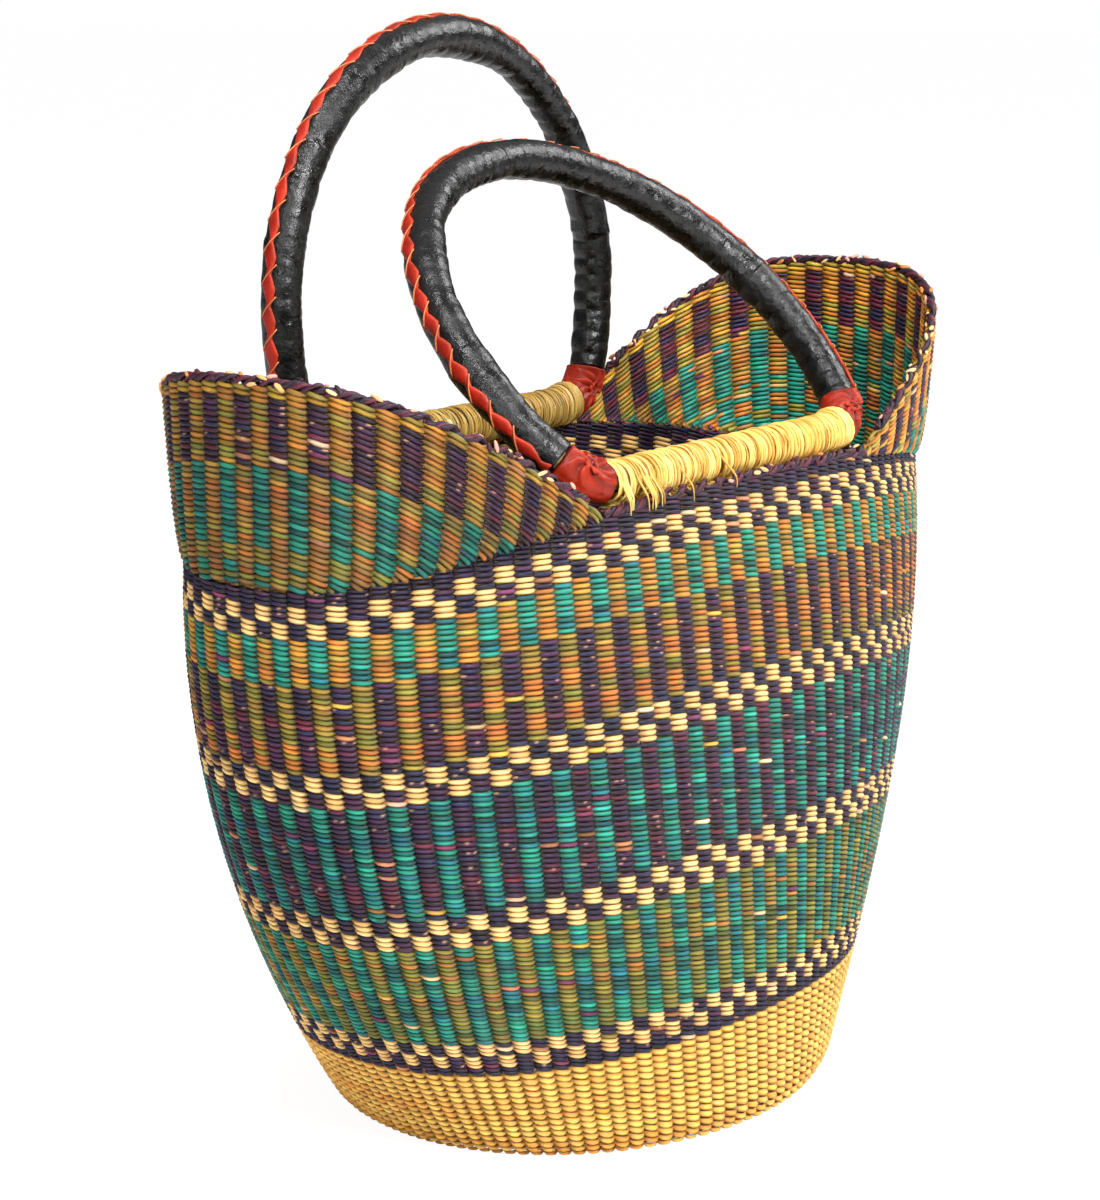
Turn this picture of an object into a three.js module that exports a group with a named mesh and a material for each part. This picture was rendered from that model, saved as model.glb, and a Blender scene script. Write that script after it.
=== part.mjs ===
// Woven straw tote basket with two high wings and two leather covered hoop handles.
// Millimetres, +Z up, X from wing to wing, Y from handle to handle, origin under the centre of the base.
import * as THREE from 'three';

// Driving dimensions of the basket
const rimLength = 435;
const footLength = 237;
const footWidth = 207;
const rimWidth = 171;
const rimHeight = 266;
const rimSaddle = 10.4;
const leftWingRise = 78;
const rightWingRise = 91;
const wingFlare = 19.5;
const wallThickness = 5;
const baseThickness = 5;
const footRounding = 4;
const footRoundingHeight = 9;
const braidDiameter = 5.6;
const seamGap = 0.3;

// Driving dimensions of the handles, measured to the middle of the hoop's grass core.
// The front hoop has given way a little: it is wider and lower than the back one.
const hoopWidth = 224;
const hoopFootInset = 11.5;
const hoopHeight = 172;
const frontHoopSpread = 12;
const frontHoopSag = 5.5;
const hoopWidestHeight = 58;
const hoopCornerRadius = 13;
const barInset = 11.5;
const barRise = 10.6;
const coreDiameter = 10.4;
const sleeveDiameter = 18;
const cuffDiameter = 20.4;
const cuffLength = 21;
const cuffBarLength = 8;
const strawDiameter = 4.6;
const lacingWidth = 6;
const lacingThickness = 1.2;
const knotLength = 9;
const knotWidth = 7;
const knotThickness = 3;
const frontHandleTilt = 44.5;
const backHandleTilt = 1;

// Driving dimensions of the straw ties that hold the bars on the rim
const tieDiameter = 2.4;
const tieClearance = 0.5;
const tieDrop = 9;
const tieInset = 7.5;
const tiesPerBar = 4;

// Shapes: exponents of the ring outline and of the wall's rise, and the part of the ring that a wing takes
const footOutlinePower = 2;
const rimOutlinePower = 2.78;
const outlineRisePower = 0.852;
const spreadPower = 2.05;
const pinchPower = 2.606;
const wingHalfAngle = 69.7;
const wingCrownPower = 0.883;
const wingFlarePower = 0.45;
const wingEndShare = 0.95;
const strawBendShare = 0.8;
const tieStartAngle = 20;
const tieEndAngle = 270;

// Each band of weft between two levels, as shares of the rim height
const bandLevelShares = {
  foot_band: [0, 0.178],
  lower_check_band: [0.178, 0.24],
  teal_olive_band: [0.24, 0.418],
  second_check_band: [0.418, 0.471],
  teal_purple_band: [0.471, 0.663],
  third_check_band: [0.663, 0.716],
  olive_purple_band: [0.716, 0.856],
  teal_orange_band: [0.856, 0.929],
  top_check_band: [0.929, 0.979],
  dark_rim_band: [0.979, 1],
};
const tallBandShare = 0.12;
const tallBandRows = 2;
const bandColors = {
  foot_band: 0xd9aa5c,
  lower_check_band: 0x6a4a58,
  teal_olive_band: 0x4f8a5c,
  second_check_band: 0x8a6a68,
  teal_purple_band: 0x2f6a72,
  third_check_band: 0x8a6a68,
  olive_purple_band: 0x6f5a48,
  teal_orange_band: 0x6a8a52,
  top_check_band: 0x8a6a68,
  dark_rim_band: 0x33203f,
};

// Counts
const stepsAround = 40;
const wingSteps = 22;
const wingRows = 3;
const braidSides = 6;
const lowBraidSteps = 8;
const hoopSteps = 26;
const hoopSides = 8;
const cuffSteps = 4;
const windingLoops = 28;
const windingStepsPerLoop = 12;
const windingSides = 5;
const strawBendSteps = 2;
const knotSides = 8;
const tieSteps = 14;
const tieSides = 5;
const legArcSteps = 6;
const crownArcSteps = 16;
const cornerArcSteps = 4;

// Materials
const strawMaterial = (color) => new THREE.MeshStandardMaterial({ color, roughness: 0.75, metalness: 0 });
const leatherMaterial = (color) => new THREE.MeshStandardMaterial({ color, roughness: 0.42, metalness: 0 });
const naturalStraw = strawMaterial(0xe2bc6c);
const wingStraw = strawMaterial(0x6a7048);
const braidStraw = strawMaterial(0x452548);
const blackLeather = leatherMaterial(0x222322);
const redLeather = leatherMaterial(0xb5291a);
const coreGrass = strawMaterial(0xa88a50);

const basket = new THREE.Group();

function addMesh(parent, name, geometry, material) {
  const mesh = new THREE.Mesh(geometry, material);
  mesh.name = name;
  parent.add(mesh);
  return mesh;
}

// Closed surfaces built from rings of points

// Joins rings of points that share one count; loop closes the last ring onto the first one.
function ringsGeometry(rings, loop) {
  const count = rings[0].length;
  const positions = rings.flat().flatMap((point) => [point.x, point.y, point.z]);
  const indices = [];
  const joints = loop ? rings.length : rings.length - 1;
  for (let ring = 0; ring < joints; ring++) {
    const next = (ring + 1) % rings.length;
    for (let i = 0; i < count; i++) {
      const j = (i + 1) % count;
      const [a, b] = [ring * count + i, ring * count + j];
      const [c, d] = [next * count + i, next * count + j];
      indices.push(a, b, d, a, d, c);
    }
  }
  if (!loop) {
    addCap(positions, indices, rings[0], 0, true);
    addCap(positions, indices, rings.at(-1), (rings.length - 1) * count, false);
  }
  const geometry = new THREE.BufferGeometry();
  geometry.setAttribute('position', new THREE.Float32BufferAttribute(positions, 3));
  geometry.setIndex(indices);
  return faceOut(geometry);
}

// Closes the end of a row of rings with a fan round the middle of its last ring.
function addCap(positions, indices, ring, first, flipped) {
  const middle = new THREE.Vector3();
  ring.forEach((point) => middle.add(point));
  middle.divideScalar(ring.length);
  const centre = positions.length / 3;
  positions.push(middle.x, middle.y, middle.z);
  for (let i = 0; i < ring.length; i++) {
    const j = (i + 1) % ring.length;
    const corners = flipped ? [first + j, first + i] : [first + i, first + j];
    indices.push(corners[0], corners[1], centre);
  }
}

// Turns every face over where the closed surface holds a negative volume.
function faceOut(geometry) {
  const position = geometry.getAttribute('position');
  const index = geometry.getIndex();
  const [a, b, c] = [new THREE.Vector3(), new THREE.Vector3(), new THREE.Vector3()];
  let volume = 0;
  for (let i = 0; i < index.count; i += 3) {
    a.fromBufferAttribute(position, index.getX(i));
    b.fromBufferAttribute(position, index.getX(i + 1));
    c.fromBufferAttribute(position, index.getX(i + 2));
    volume += a.dot(b.cross(c));
  }
  if (volume < 0) {
    const turned = Array.from(index.array).reverse();
    geometry.setIndex(turned);
  }
  geometry.computeVertexNormals();
  return geometry;
}

// The woven wall

const degrees = (angle) => THREE.MathUtils.degToRad(angle);
const signedPower = (value, power) => Math.sign(value) * Math.abs(value) ** power;
const across = new THREE.Vector3(0, 1, 0);
const up = new THREE.Vector3(0, 0, 1);

// Half length, half width and outline power of the wall's middle surface at a level from 0 to 1.
function ringShape(level) {
  const rounding = footRounding * Math.max(0, 1 - (level * rimHeight) / footRoundingHeight) ** 2;
  const spread = 1 - (1 - level) ** spreadPower;
  return {
    halfLength: THREE.MathUtils.lerp(footLength, rimLength, spread) / 2 - rounding,
    halfWidth: THREE.MathUtils.lerp(footWidth, rimWidth, level ** pinchPower) / 2 - rounding,
    power: THREE.MathUtils.lerp(footOutlinePower, rimOutlinePower, level ** outlineRisePower),
  };
}

// Point of an outline with rounded corners, moved outwards by offset square to the outline.
function outlinePoint(shape, angle, offset, height) {
  const x = shape.halfLength * signedPower(Math.cos(angle), 2 / shape.power);
  const y = shape.halfWidth * signedPower(Math.sin(angle), 2 / shape.power);
  const normal = new THREE.Vector3(
    signedPower(Math.cos(angle), 2 - 2 / shape.power) / shape.halfLength,
    signedPower(Math.sin(angle), 2 - 2 / shape.power) / shape.halfWidth,
    0,
  ).normalize();
  return new THREE.Vector3(x, y, height).addScaledVector(normal, offset);
}

// The top of the low rim at the middle of a long side, and the bar's place above and inside it
const rimTop = rimHeight + rimSaddle;
const barY = rimWidth / 2 - barInset;
const barZ = rimTop + barRise;

const levelHeight = (level, angle) => level * (rimHeight - rimSaddle * Math.cos(2 * angle));
const wallPoint = (level, angle, offset, lift = 0) =>
  outlinePoint(ringShape(level), angle, offset, levelHeight(level, angle) + lift);

// A closed ring of weft: its section goes up the outside and down the inside.
function bandGeometry([low, high]) {
  const rows = high - low > tallBandShare ? tallBandRows : 1;
  const levels = Array.from({ length: rows + 1 }, (_, row) => THREE.MathUtils.lerp(low, high, row / rows));
  if (low === 0) levels.splice(1, 0, footRoundingHeight / rimHeight);
  const lift = (row) => (row === levels.length - 1 ? -seamGap : 0);
  const section = (angle) => [
    ...levels.map((level, row) => wallPoint(level, angle, wallThickness / 2, lift(row))),
    ...levels.map((level, row) => wallPoint(level, angle, -wallThickness / 2, lift(row))).reverse(),
  ];
  const rings = Array.from({ length: stepsAround }, (_, i) => section((2 * Math.PI * i) / stepsAround));
  return ringsGeometry(rings, true);
}

function addWall() {
  for (const [name, levels] of Object.entries(bandLevelShares)) {
    addMesh(basket, name, bandGeometry(levels), strawMaterial(bandColors[name]));
  }
}

// The flat woven base lies inside the foot band.
function addBase() {
  const edge = (height) => {
    const shape = ringShape(0);
    const offset = -wallThickness / 2 - seamGap;
    return Array.from({ length: stepsAround }, (_, i) =>
      outlinePoint(shape, (2 * Math.PI * i) / stepsAround, offset, height));
  };
  addMesh(basket, 'base_disc', ringsGeometry([edge(0), edge(baseThickness)], false), naturalStraw);
}

// The wings and the rim

// How much of a wing's rise the rim has reached, for an angle measured from the wing's middle.
function crownShare(angle) {
  const turn = Math.abs(angle) / degrees(wingHalfAngle);
  return turn < 1 ? Math.cos((turn * Math.PI) / 2) ** wingCrownPower : 0;
}

// Point between the low rim (climb 0) and the edge of a wing (climb 1).
function wingPoint(side, angle, climb, offset, lift) {
  const crown = crownShare(angle) * climb;
  const shape = ringShape(1);
  shape.halfWidth += wingFlare * crownShare(angle) * climb ** wingFlarePower;
  const rise = side < 0 ? leftWingRise : rightWingRise;
  const height = levelHeight(1, angle) + rise * crown + lift;
  const point = outlinePoint(shape, angle, offset, height);
  point.x *= side;
  return point;
}

function wingGeometry(side) {
  const end = degrees(wingHalfAngle) * wingEndShare;
  const section = (angle) => {
    const climbs = Array.from({ length: wingRows + 1 }, (_, row) => row / wingRows);
    return [
      ...climbs.map((climb) => wingPoint(side, angle, climb, wallThickness / 2, 0)),
      ...climbs.map((climb) => wingPoint(side, angle, climb, -wallThickness / 2, 0)).reverse(),
    ];
  };
  const rings = Array.from({ length: wingSteps + 1 }, (_, i) =>
    section(THREE.MathUtils.lerp(-end, end, i / wingSteps)));
  return ringsGeometry(rings, false);
}

// A round cord swept along a list of points, with flat ends.
function cordGeometry(points, diameter, sides, steps) {
  const curve = new THREE.CatmullRomCurve3(points, false, 'centripetal');
  const frames = curve.computeFrenetFrames(steps, false);
  const rings = frames.tangents.map((_, i) => {
    const centre = curve.getPointAt(i / steps);
    return Array.from({ length: sides }, (_, k) => {
      const turn = (2 * Math.PI * k) / sides;
      return centre.clone()
        .addScaledVector(frames.normals[i], (Math.cos(turn) * diameter) / 2)
        .addScaledVector(frames.binormals[i], (Math.sin(turn) * diameter) / 2);
    });
  });
  return ringsGeometry(rings, false);
}

// A round cord through the points of a rim, with one ring at each point and its section upright.
function rimCordGeometry(points, diameter, sides) {
  const rings = points.map((point, i) => {
    const ahead = points[Math.min(i + 1, points.length - 1)];
    const tangent = ahead.clone().sub(points[Math.max(i - 1, 0)]).normalize();
    const sideways = new THREE.Vector3(tangent.y, -tangent.x, 0).normalize();
    return Array.from({ length: sides }, (_, k) => {
      const turn = (2 * Math.PI * k) / sides;
      return point.clone()
        .addScaledVector(sideways, (Math.cos(turn) * diameter) / 2)
        .addScaledVector(up, (Math.sin(turn) * diameter) / 2);
    });
  });
  return ringsGeometry(rings, false);
}

// The edge braids lie on the wings' edges and on the two low stretches of the rim between them.
function addBraids() {
  const lift = braidDiameter / 2 + seamGap;
  const end = degrees(wingHalfAngle) * wingEndShare;
  for (const [name, side] of [['left_wing_braid', -1], ['right_wing_braid', 1]]) {
    const points = Array.from({ length: wingSteps + 1 }, (_, i) =>
      wingPoint(side, THREE.MathUtils.lerp(-end, end, i / wingSteps), 1, 0, lift));
    addMesh(basket, name, rimCordGeometry(points, braidDiameter, braidSides), braidStraw);
  }
  const lowEnd = Math.PI / 2 - degrees(wingHalfAngle);
  for (const [name, middle] of [['front_rim_braid', -Math.PI / 2], ['back_rim_braid', Math.PI / 2]]) {
    const points = Array.from({ length: lowBraidSteps + 1 }, (_, i) =>
      wallPoint(1, middle + THREE.MathUtils.lerp(-lowEnd, lowEnd, i / lowBraidSteps), 0, lift));
    addMesh(basket, name, rimCordGeometry(points, braidDiameter, braidSides), braidStraw);
  }
}

// The handles, each drawn upright with its bar along X and its hoop in the XZ plane

const hoopFootSpan = hoopWidth - 2 * hoopFootInset;

const barHalfLength = hoopFootSpan / 2 - hoopCornerRadius - cuffBarLength / 2;
const tieSpan = 2 * (barHalfLength - tieInset);
const cuffStart = barHalfLength + seamGap;
const cuffEnd = cuffStart + cuffBarLength + cuffLength;
const sleeveStart = cuffEnd + seamGap;

// Right half of a hoop's centre line from the middle of the bar to the crown.
function hoopHalf(width, height) {
  const legRadius = hoopWidestHeight / Math.sqrt(1 - (hoopFootSpan / width) ** 2);
  const legStart = Math.asin((hoopCornerRadius - hoopWidestHeight) / legRadius);
  const legPoint = (turn) =>
    new THREE.Vector3((width / 2) * Math.cos(turn), 0, hoopWidestHeight + legRadius * Math.sin(turn));
  const corner = new THREE.QuadraticBezierCurve3(
    new THREE.Vector3(hoopFootSpan / 2 - hoopCornerRadius, 0, 0),
    new THREE.Vector3(hoopFootSpan / 2, 0, 0),
    legPoint(legStart),
  );
  const points = [new THREE.Vector3(), ...corner.getPoints(cornerArcSteps)];
  for (let i = 1; i <= legArcSteps; i++) {
    points.push(legPoint(legStart * (1 - i / legArcSteps)));
  }
  for (let i = 1; i <= crownArcSteps; i++) {
    const turn = (Math.PI / 2) * (i / crownArcSteps);
    const crownHeight = (height - hoopWidestHeight) * Math.sin(turn);
    points.push(new THREE.Vector3((width / 2) * Math.cos(turn), 0, hoopWidestHeight + crownHeight));
  }
  return points;
}

// The centre line of a hoop as one path that starts and ends at the middle of the bar.
class Hoop {
  constructor(width, height) {
    const right = hoopHalf(width, height);
    const left = right.slice(1, -1).reverse().map((point) => new THREE.Vector3(-point.x, 0, point.z));
    this.path = [...right, ...left, new THREE.Vector3()];
    this.distances = this.path.map(() => 0);
    for (let i = 1; i < this.path.length; i++) {
      this.distances[i] = this.distances[i - 1] + this.path[i].distanceTo(this.path[i - 1]);
    }
    this.length = this.distances.at(-1);
    this.rightCuff = distancesBetween(cuffStart, cuffEnd, cuffSteps);
    this.sleeve = distancesBetween(sleeveStart, this.length - sleeveStart, hoopSteps);
    this.leftCuff = distancesBetween(this.length - cuffEnd, this.length - cuffStart, cuffSteps);
  }

  // Point and in-plane normal at a distance along the hoop.
  frame(distance) {
    const { path, distances } = this;
    const last = path.length - 1;
    let i = 1;
    while (i < last && distances[i] < distance) i++;
    const share = (distance - distances[i - 1]) / (distances[i] - distances[i - 1]);
    const point = path[i - 1].clone().lerp(path[i], share);
    const before = path[i === 1 ? last - 1 : i - 2];
    const after = path[i === last ? 1 : i + 1];
    const startTangent = path[i].clone().sub(before).normalize();
    const endTangent = after.clone().sub(path[i - 1]).normalize();
    const tangent = startTangent.lerp(endTangent, share).normalize();
    return { point, outward: new THREE.Vector3(tangent.z, 0, -tangent.x) };
  }

  // Ring of points round the hoop at a distance along it.
  ring(distance, radius) {
    const { point, outward } = this.frame(distance);
    return Array.from({ length: hoopSides }, (_, k) => {
      const turn = (2 * Math.PI * k) / hoopSides;
      return point.clone()
        .addScaledVector(outward, radius * Math.cos(turn))
        .addScaledVector(across, radius * Math.sin(turn));
    });
  }
}

// The core and its covers share their distances along the hoop, so that their facets lie alike.
function distancesBetween(start, end, steps) {
  return Array.from({ length: steps + 1 }, (_, i) => THREE.MathUtils.lerp(start, end, i / steps));
}

// A hollow cover round the core.
function coverGeometry(hoop, distances, outerDiameter) {
  const outer = distances.map((distance) => hoop.ring(distance, outerDiameter / 2));
  const inner = distances.map((distance) => hoop.ring(distance, coreDiameter / 2 + seamGap)).reverse();
  return ringsGeometry([...outer, ...inner], true);
}

// The grass core is one closed hoop, straight along the bar between the cuffs.
function coreGeometry(hoop) {
  const distances = [...hoop.rightCuff, ...hoop.sleeve, ...hoop.leftCuff];
  return ringsGeometry(distances.map((distance) => hoop.ring(distance, coreDiameter / 2)), true);
}

// Turn and distance along the bar of each point of the wound straw, whose ends bend to run along the bar.
function windingRoute() {
  const bend = strawDiameter * strawBendShare;
  const radius = coreDiameter / 2 + seamGap + strawDiameter / 2;
  const woundHalf = barHalfLength - bend - (3 * strawDiameter) / 2;
  const steps = windingLoops * windingStepsPerLoop;
  const endTurn = Math.PI * windingLoops;
  const tail = [];
  for (let i = 1; i <= strawBendSteps; i++) {
    const angle = (Math.PI / 2) * (i / strawBendSteps);
    tail.push([endTurn + (bend / radius) * Math.sin(angle), woundHalf + bend * (1 - Math.cos(angle))]);
  }
  const [lastTurn, lastX] = tail.at(-1);
  tail.push([lastTurn, lastX + strawDiameter]);
  const wound = Array.from({ length: steps + 1 }, (_, i) =>
    [endTurn * ((2 * i) / steps - 1), woundHalf * ((2 * i) / steps - 1)]);
  const head = tail.map(([turn, x]) => [-turn, -x]).reverse();
  return [...head, ...wound, ...tail].map(([turn, x]) =>
    new THREE.Vector3(x, radius * Math.sin(turn), radius * Math.cos(turn)));
}

// Least distance between the surfaces of turns that lie more than half a turn apart along the straw.
function leastGap(points) {
  const apart = windingStepsPerLoop / 2;
  let least = Infinity;
  for (let i = 0; i < points.length; i++) {
    for (let j = i + apart; j < points.length; j++) {
      least = Math.min(least, points[i].distanceTo(points[j]) - strawDiameter);
    }
  }
  return least;
}

// A straw wound round the bar as one unbroken tube.
function windingGeometry() {
  const points = windingRoute();
  console.log('least gap of the wound straw to itself, mm:', leastGap(points).toFixed(2));
  const rings = points.map((point, i) => {
    const ahead = points[Math.min(i + 1, points.length - 1)];
    const tangent = ahead.clone().sub(points[Math.max(i - 1, 0)]).normalize();
    const radial = new THREE.Vector3(0, point.y, point.z).normalize();
    const sideways = new THREE.Vector3().crossVectors(tangent, radial).normalize();
    return Array.from({ length: windingSides }, (_, k) => {
      const turn = (2 * Math.PI * k) / windingSides;
      return point.clone()
        .addScaledVector(radial, (Math.cos(turn) * strawDiameter) / 2)
        .addScaledVector(sideways, (Math.sin(turn) * strawDiameter) / 2);
    });
  });
  return ringsGeometry(rings, false);
}

// The laced strip follows the outer edge of the leather sleeve.
function lacingGeometry(hoop) {
  const inner = sleeveDiameter / 2 + seamGap;
  const outer = inner + lacingThickness;
  const corners = [[inner, -1], [outer, -1], [outer, 1], [inner, 1]];
  const rings = hoop.sleeve.map((distance) => {
    const { point, outward } = hoop.frame(distance);
    return corners.map(([reach, side]) => point.clone()
      .addScaledVector(outward, reach)
      .addScaledVector(across, (side * lacingWidth) / 2));
  });
  return ringsGeometry(rings, false);
}

// The knot that closes a cuff sits on the side of the cuff that faces the front.
function addKnot(handle, hoop, name, distance) {
  const knot = addMesh(handle, name, new THREE.SphereGeometry(1, knotSides, knotSides / 2), redLeather);
  knot.scale.set(knotWidth / 2, knotThickness / 2, knotLength / 2);
  knot.position.copy(hoop.frame(distance).point);
  knot.position.y -= cuffDiameter / 2 + seamGap + knotThickness / 2;
}

function addHandle(prefix, hoop, side, tilt) {
  const handle = new THREE.Group();
  handle.position.set(0, side * barY, barZ);
  handle.rotation.x = -degrees(tilt);
  basket.add(handle);
  addMesh(handle, `${prefix}_hoop_core`, coreGeometry(hoop), coreGrass);
  addMesh(handle, `${prefix}_bar_winding`, windingGeometry(), naturalStraw);
  const sleeve = coverGeometry(hoop, hoop.sleeve, sleeveDiameter);
  addMesh(handle, `${prefix}_leather_sleeve`, sleeve, blackLeather);
  addMesh(handle, `${prefix}_lacing_strip`, lacingGeometry(hoop), redLeather);
  const knotDistance = (cuffStart + cuffEnd) / 2;
  addMesh(handle, `${prefix}_right_cuff`, coverGeometry(hoop, hoop.rightCuff, cuffDiameter), redLeather);
  addKnot(handle, hoop, `${prefix}_right_cuff_knot`, knotDistance);
  addMesh(handle, `${prefix}_left_cuff`, coverGeometry(hoop, hoop.leftCuff, cuffDiameter), redLeather);
  addKnot(handle, hoop, `${prefix}_left_cuff_knot`, hoop.length - knotDistance);
}

// How far the middle of the wall lies from the XZ plane, at a level and a distance along the bar.
function wallReach(level, x) {
  const { halfLength, halfWidth, power } = ringShape(level);
  return halfWidth * (1 - (Math.abs(x) / halfLength) ** power) ** (1 / power);
}

// Each tie starts on the outer face of the wall, goes up over the bar and ends on the inner face.
function tiePoints(side, x) {
  const radius = tieDiameter / 2;
  const outside = wallThickness / 2 + seamGap + radius;
  const footHeight = rimTop - tieDrop;
  const rimY = wallReach(1, x);
  const footY = wallReach(footHeight / rimTop, x);
  const braidReach = braidDiameter / 2 + tieClearance + radius;
  const barReach = coreDiameter / 2 + seamGap + strawDiameter + tieClearance + radius;
  const [arcStart, arcEnd] = [degrees(tieStartAngle), degrees(tieEndAngle)];
  const arc = Array.from({ length: tieSteps / 2 + 1 }, (_, i) => {
    const angle = THREE.MathUtils.lerp(arcStart, arcEnd, (2 * i) / tieSteps);
    return [barY + barReach * Math.cos(angle), barZ + barReach * Math.sin(angle)];
  });
  const route = [
    [footY + outside, footHeight],
    [rimY + braidReach, rimTop + braidDiameter / 2],
    ...arc,
    [rimY - outside, (footHeight + barZ - barReach) / 2],
    [footY - outside, footHeight],
  ];
  return route.map(([y, z]) => new THREE.Vector3(x, side * y, z));
}

function addTies(prefix, side) {
  for (let i = 0; i < tiesPerBar; i++) {
    const x = tieSpan * (i / (tiesPerBar - 1) - 1 / 2);
    const geometry = cordGeometry(tiePoints(side, x), tieDiameter, tieSides, tieSteps);
    addMesh(basket, `${prefix}_bar_tie_${i + 1}`, geometry, naturalStraw);
  }
}

addBase();
addWall();
addMesh(basket, 'left_wing', wingGeometry(-1), wingStraw);
addMesh(basket, 'right_wing', wingGeometry(1), wingStraw);
addBraids();
addHandle('front', new Hoop(hoopWidth + frontHoopSpread, hoopHeight - frontHoopSag), -1, frontHandleTilt);
addHandle('back', new Hoop(hoopWidth, hoopHeight), 1, backHandleTilt);
addTies('front', -1);
addTies('back', 1);

export default basket;
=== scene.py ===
# Looks of a woven straw tote basket with two wings and two leather covered handles.
# Metres, +Z up, X from wing to wing, Y from handle to handle, origin under the centre of the base.
import math

import bpy
import numpy as np
from mathutils import Matrix, Vector


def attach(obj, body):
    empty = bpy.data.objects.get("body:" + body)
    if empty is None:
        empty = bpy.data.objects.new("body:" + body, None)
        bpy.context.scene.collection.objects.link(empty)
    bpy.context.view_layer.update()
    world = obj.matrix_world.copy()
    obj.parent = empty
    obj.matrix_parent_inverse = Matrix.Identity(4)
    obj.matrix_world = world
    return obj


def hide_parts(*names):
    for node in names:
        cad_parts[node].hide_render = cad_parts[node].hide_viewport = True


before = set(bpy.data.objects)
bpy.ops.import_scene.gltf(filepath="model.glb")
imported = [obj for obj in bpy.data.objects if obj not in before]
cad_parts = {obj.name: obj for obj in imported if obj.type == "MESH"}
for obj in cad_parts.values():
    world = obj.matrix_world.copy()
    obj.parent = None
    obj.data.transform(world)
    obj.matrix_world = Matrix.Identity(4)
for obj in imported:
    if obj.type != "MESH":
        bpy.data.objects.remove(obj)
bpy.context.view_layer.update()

MM = 0.001
SEED = 20
UP = np.array([0.0, 0.0, 1.0])
ACROSS = np.array([0.0, 1.0, 0.0])

# Sizes that the CAD model has too; in pairs, -1 is the left wing or front handle, 1 the other
RIM_LENGTH = 435 * MM
FOOT_LENGTH = 237 * MM
FOOT_WIDTH = 207 * MM
RIM_WIDTH = 171 * MM
RIM_HEIGHT = 266 * MM
RIM_SADDLE = 10.4 * MM
WING_RISE = {-1: 78 * MM, 1: 91 * MM}
WING_FLARE = 19.5 * MM
WALL_THICKNESS = 5 * MM
BASE_THICKNESS = 5 * MM
FOOT_ROUNDING = 4 * MM
FOOT_ROUNDING_HEIGHT = 9 * MM
BRAID_DIAMETER = 5.6 * MM
SEAM_GAP = 0.3 * MM
HOOP_FOOT_SPAN = 201 * MM
HOOP_WIDTH = {-1: 236 * MM, 1: 224 * MM}
HOOP_HEIGHT = {-1: 166.5 * MM, 1: 172 * MM}
HOOP_WIDEST_HEIGHT = 58 * MM
HOOP_CORNER = 13 * MM
BAR_INSET = 11.5 * MM
BAR_RISE = 10.6 * MM
CORE_DIAMETER = 10.4 * MM
SLEEVE_DIAMETER = 18 * MM
CUFF_DIAMETER = 20.4 * MM
CUFF_LENGTH = 21 * MM
CUFF_BAR_LENGTH = 8 * MM
TIE_DROP = 9 * MM
WALL_STRAW_DIAMETER = 4.6 * MM
FOOT_POWER = 2
RIM_POWER = 2.78
OUTLINE_RISE_POWER = 0.852
SPREAD_POWER = 2.05
PINCH_POWER = 2.606
WING_HALF_ANGLE = math.radians(69.7)
WING_CROWN_POWER = 0.883
WING_FLARE_POWER = 0.45
WING_END_SHARE = 0.95
HANDLE_TILT = {-1: math.radians(44.5), 1: math.radians(1)}
RIM_TOP = RIM_HEIGHT + RIM_SADDLE
BAR_Y = RIM_WIDTH / 2 - BAR_INSET
BAR_Z = RIM_TOP + BAR_RISE

# The weave: two strands cross between every two stakes
STAKES = 116
STAKE_PHASE = 0.68
# How far the stakes stand from an even spacing, and where, as shares of the way round
QUARTER_CROWDING, QUARTER_PLACE = 0.0151, 0.7035
HALF_CROWDING, HALF_PLACE = 0.0117, 0.7635
STEPS_PER_STAKE = 6
STRAND_SIDES = 5
# Painted light and shade on a strand's sides, from its outer face over its upper side to its lower side:
# painted highlight on its faces, painted shade in the grooves between rows
SIDE_PAINTED_SHADING = (1.15, 0.75, 1.15, 1.05, 0.45)
# Painted shade on a float where it dips between stakes, and painted highlight on its crest
DIP_PAINTED_SHADE, CREST_PAINTED_HIGHLIGHT = 0.45, 1.05
STRAND_REACH = 1.6 * MM
REACH_POWER = 0.55
STRAND_HALF_DEPTH = 0.88 * MM
STRAND_TWIST = 0.5 * MM
# Half a strand's height as a share of half its row's, at the dip and how much more on the crest
FLOAT_THIN, FLOAT_SWELL = 0.76, 0.2
BASE_FLOAT_THIN, BASE_FLOAT_SWELL = 0.72, 0.3
# How far a strand's thickness and its height in the row wander, and over how many stakes
STRAND_UNEVEN, STRAND_WANDER = (0.1, 1.3), (0.1, 1.7)
# Rows overlap a little, so that no gap shows between them
WALL_OVERLAP, WING_OVERLAP = 1.02, 1.06
ROW_PITCH = 2.2 * MM
BASE_ROW_PITCH = 3.1 * MM
ROWS_PER_PIECE = 13
# Straw length between two stakes, which sets how its fibres are drawn
FIBRE_PER_STAKE = 9 * MM
# Every straw takes its fibres from somewhere else along this length
FIBRE_RANGE = 50
# Half a stake's width as a share of the distance between stakes
STAKE_WIDTH_SHARE = 0.48
STAKE_HALF_DEPTH = 0.7 * MM
STAKE_COLOR = "9A7644"
# The base is woven over stakes that double in number three times from its middle out
BASE_STAKES, BASE_TIERS = 96, 4
BASE_STAKE_HALF_WIDTH = 2.6 * MM
BASE_OVERHANG = 1 * MM

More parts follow.
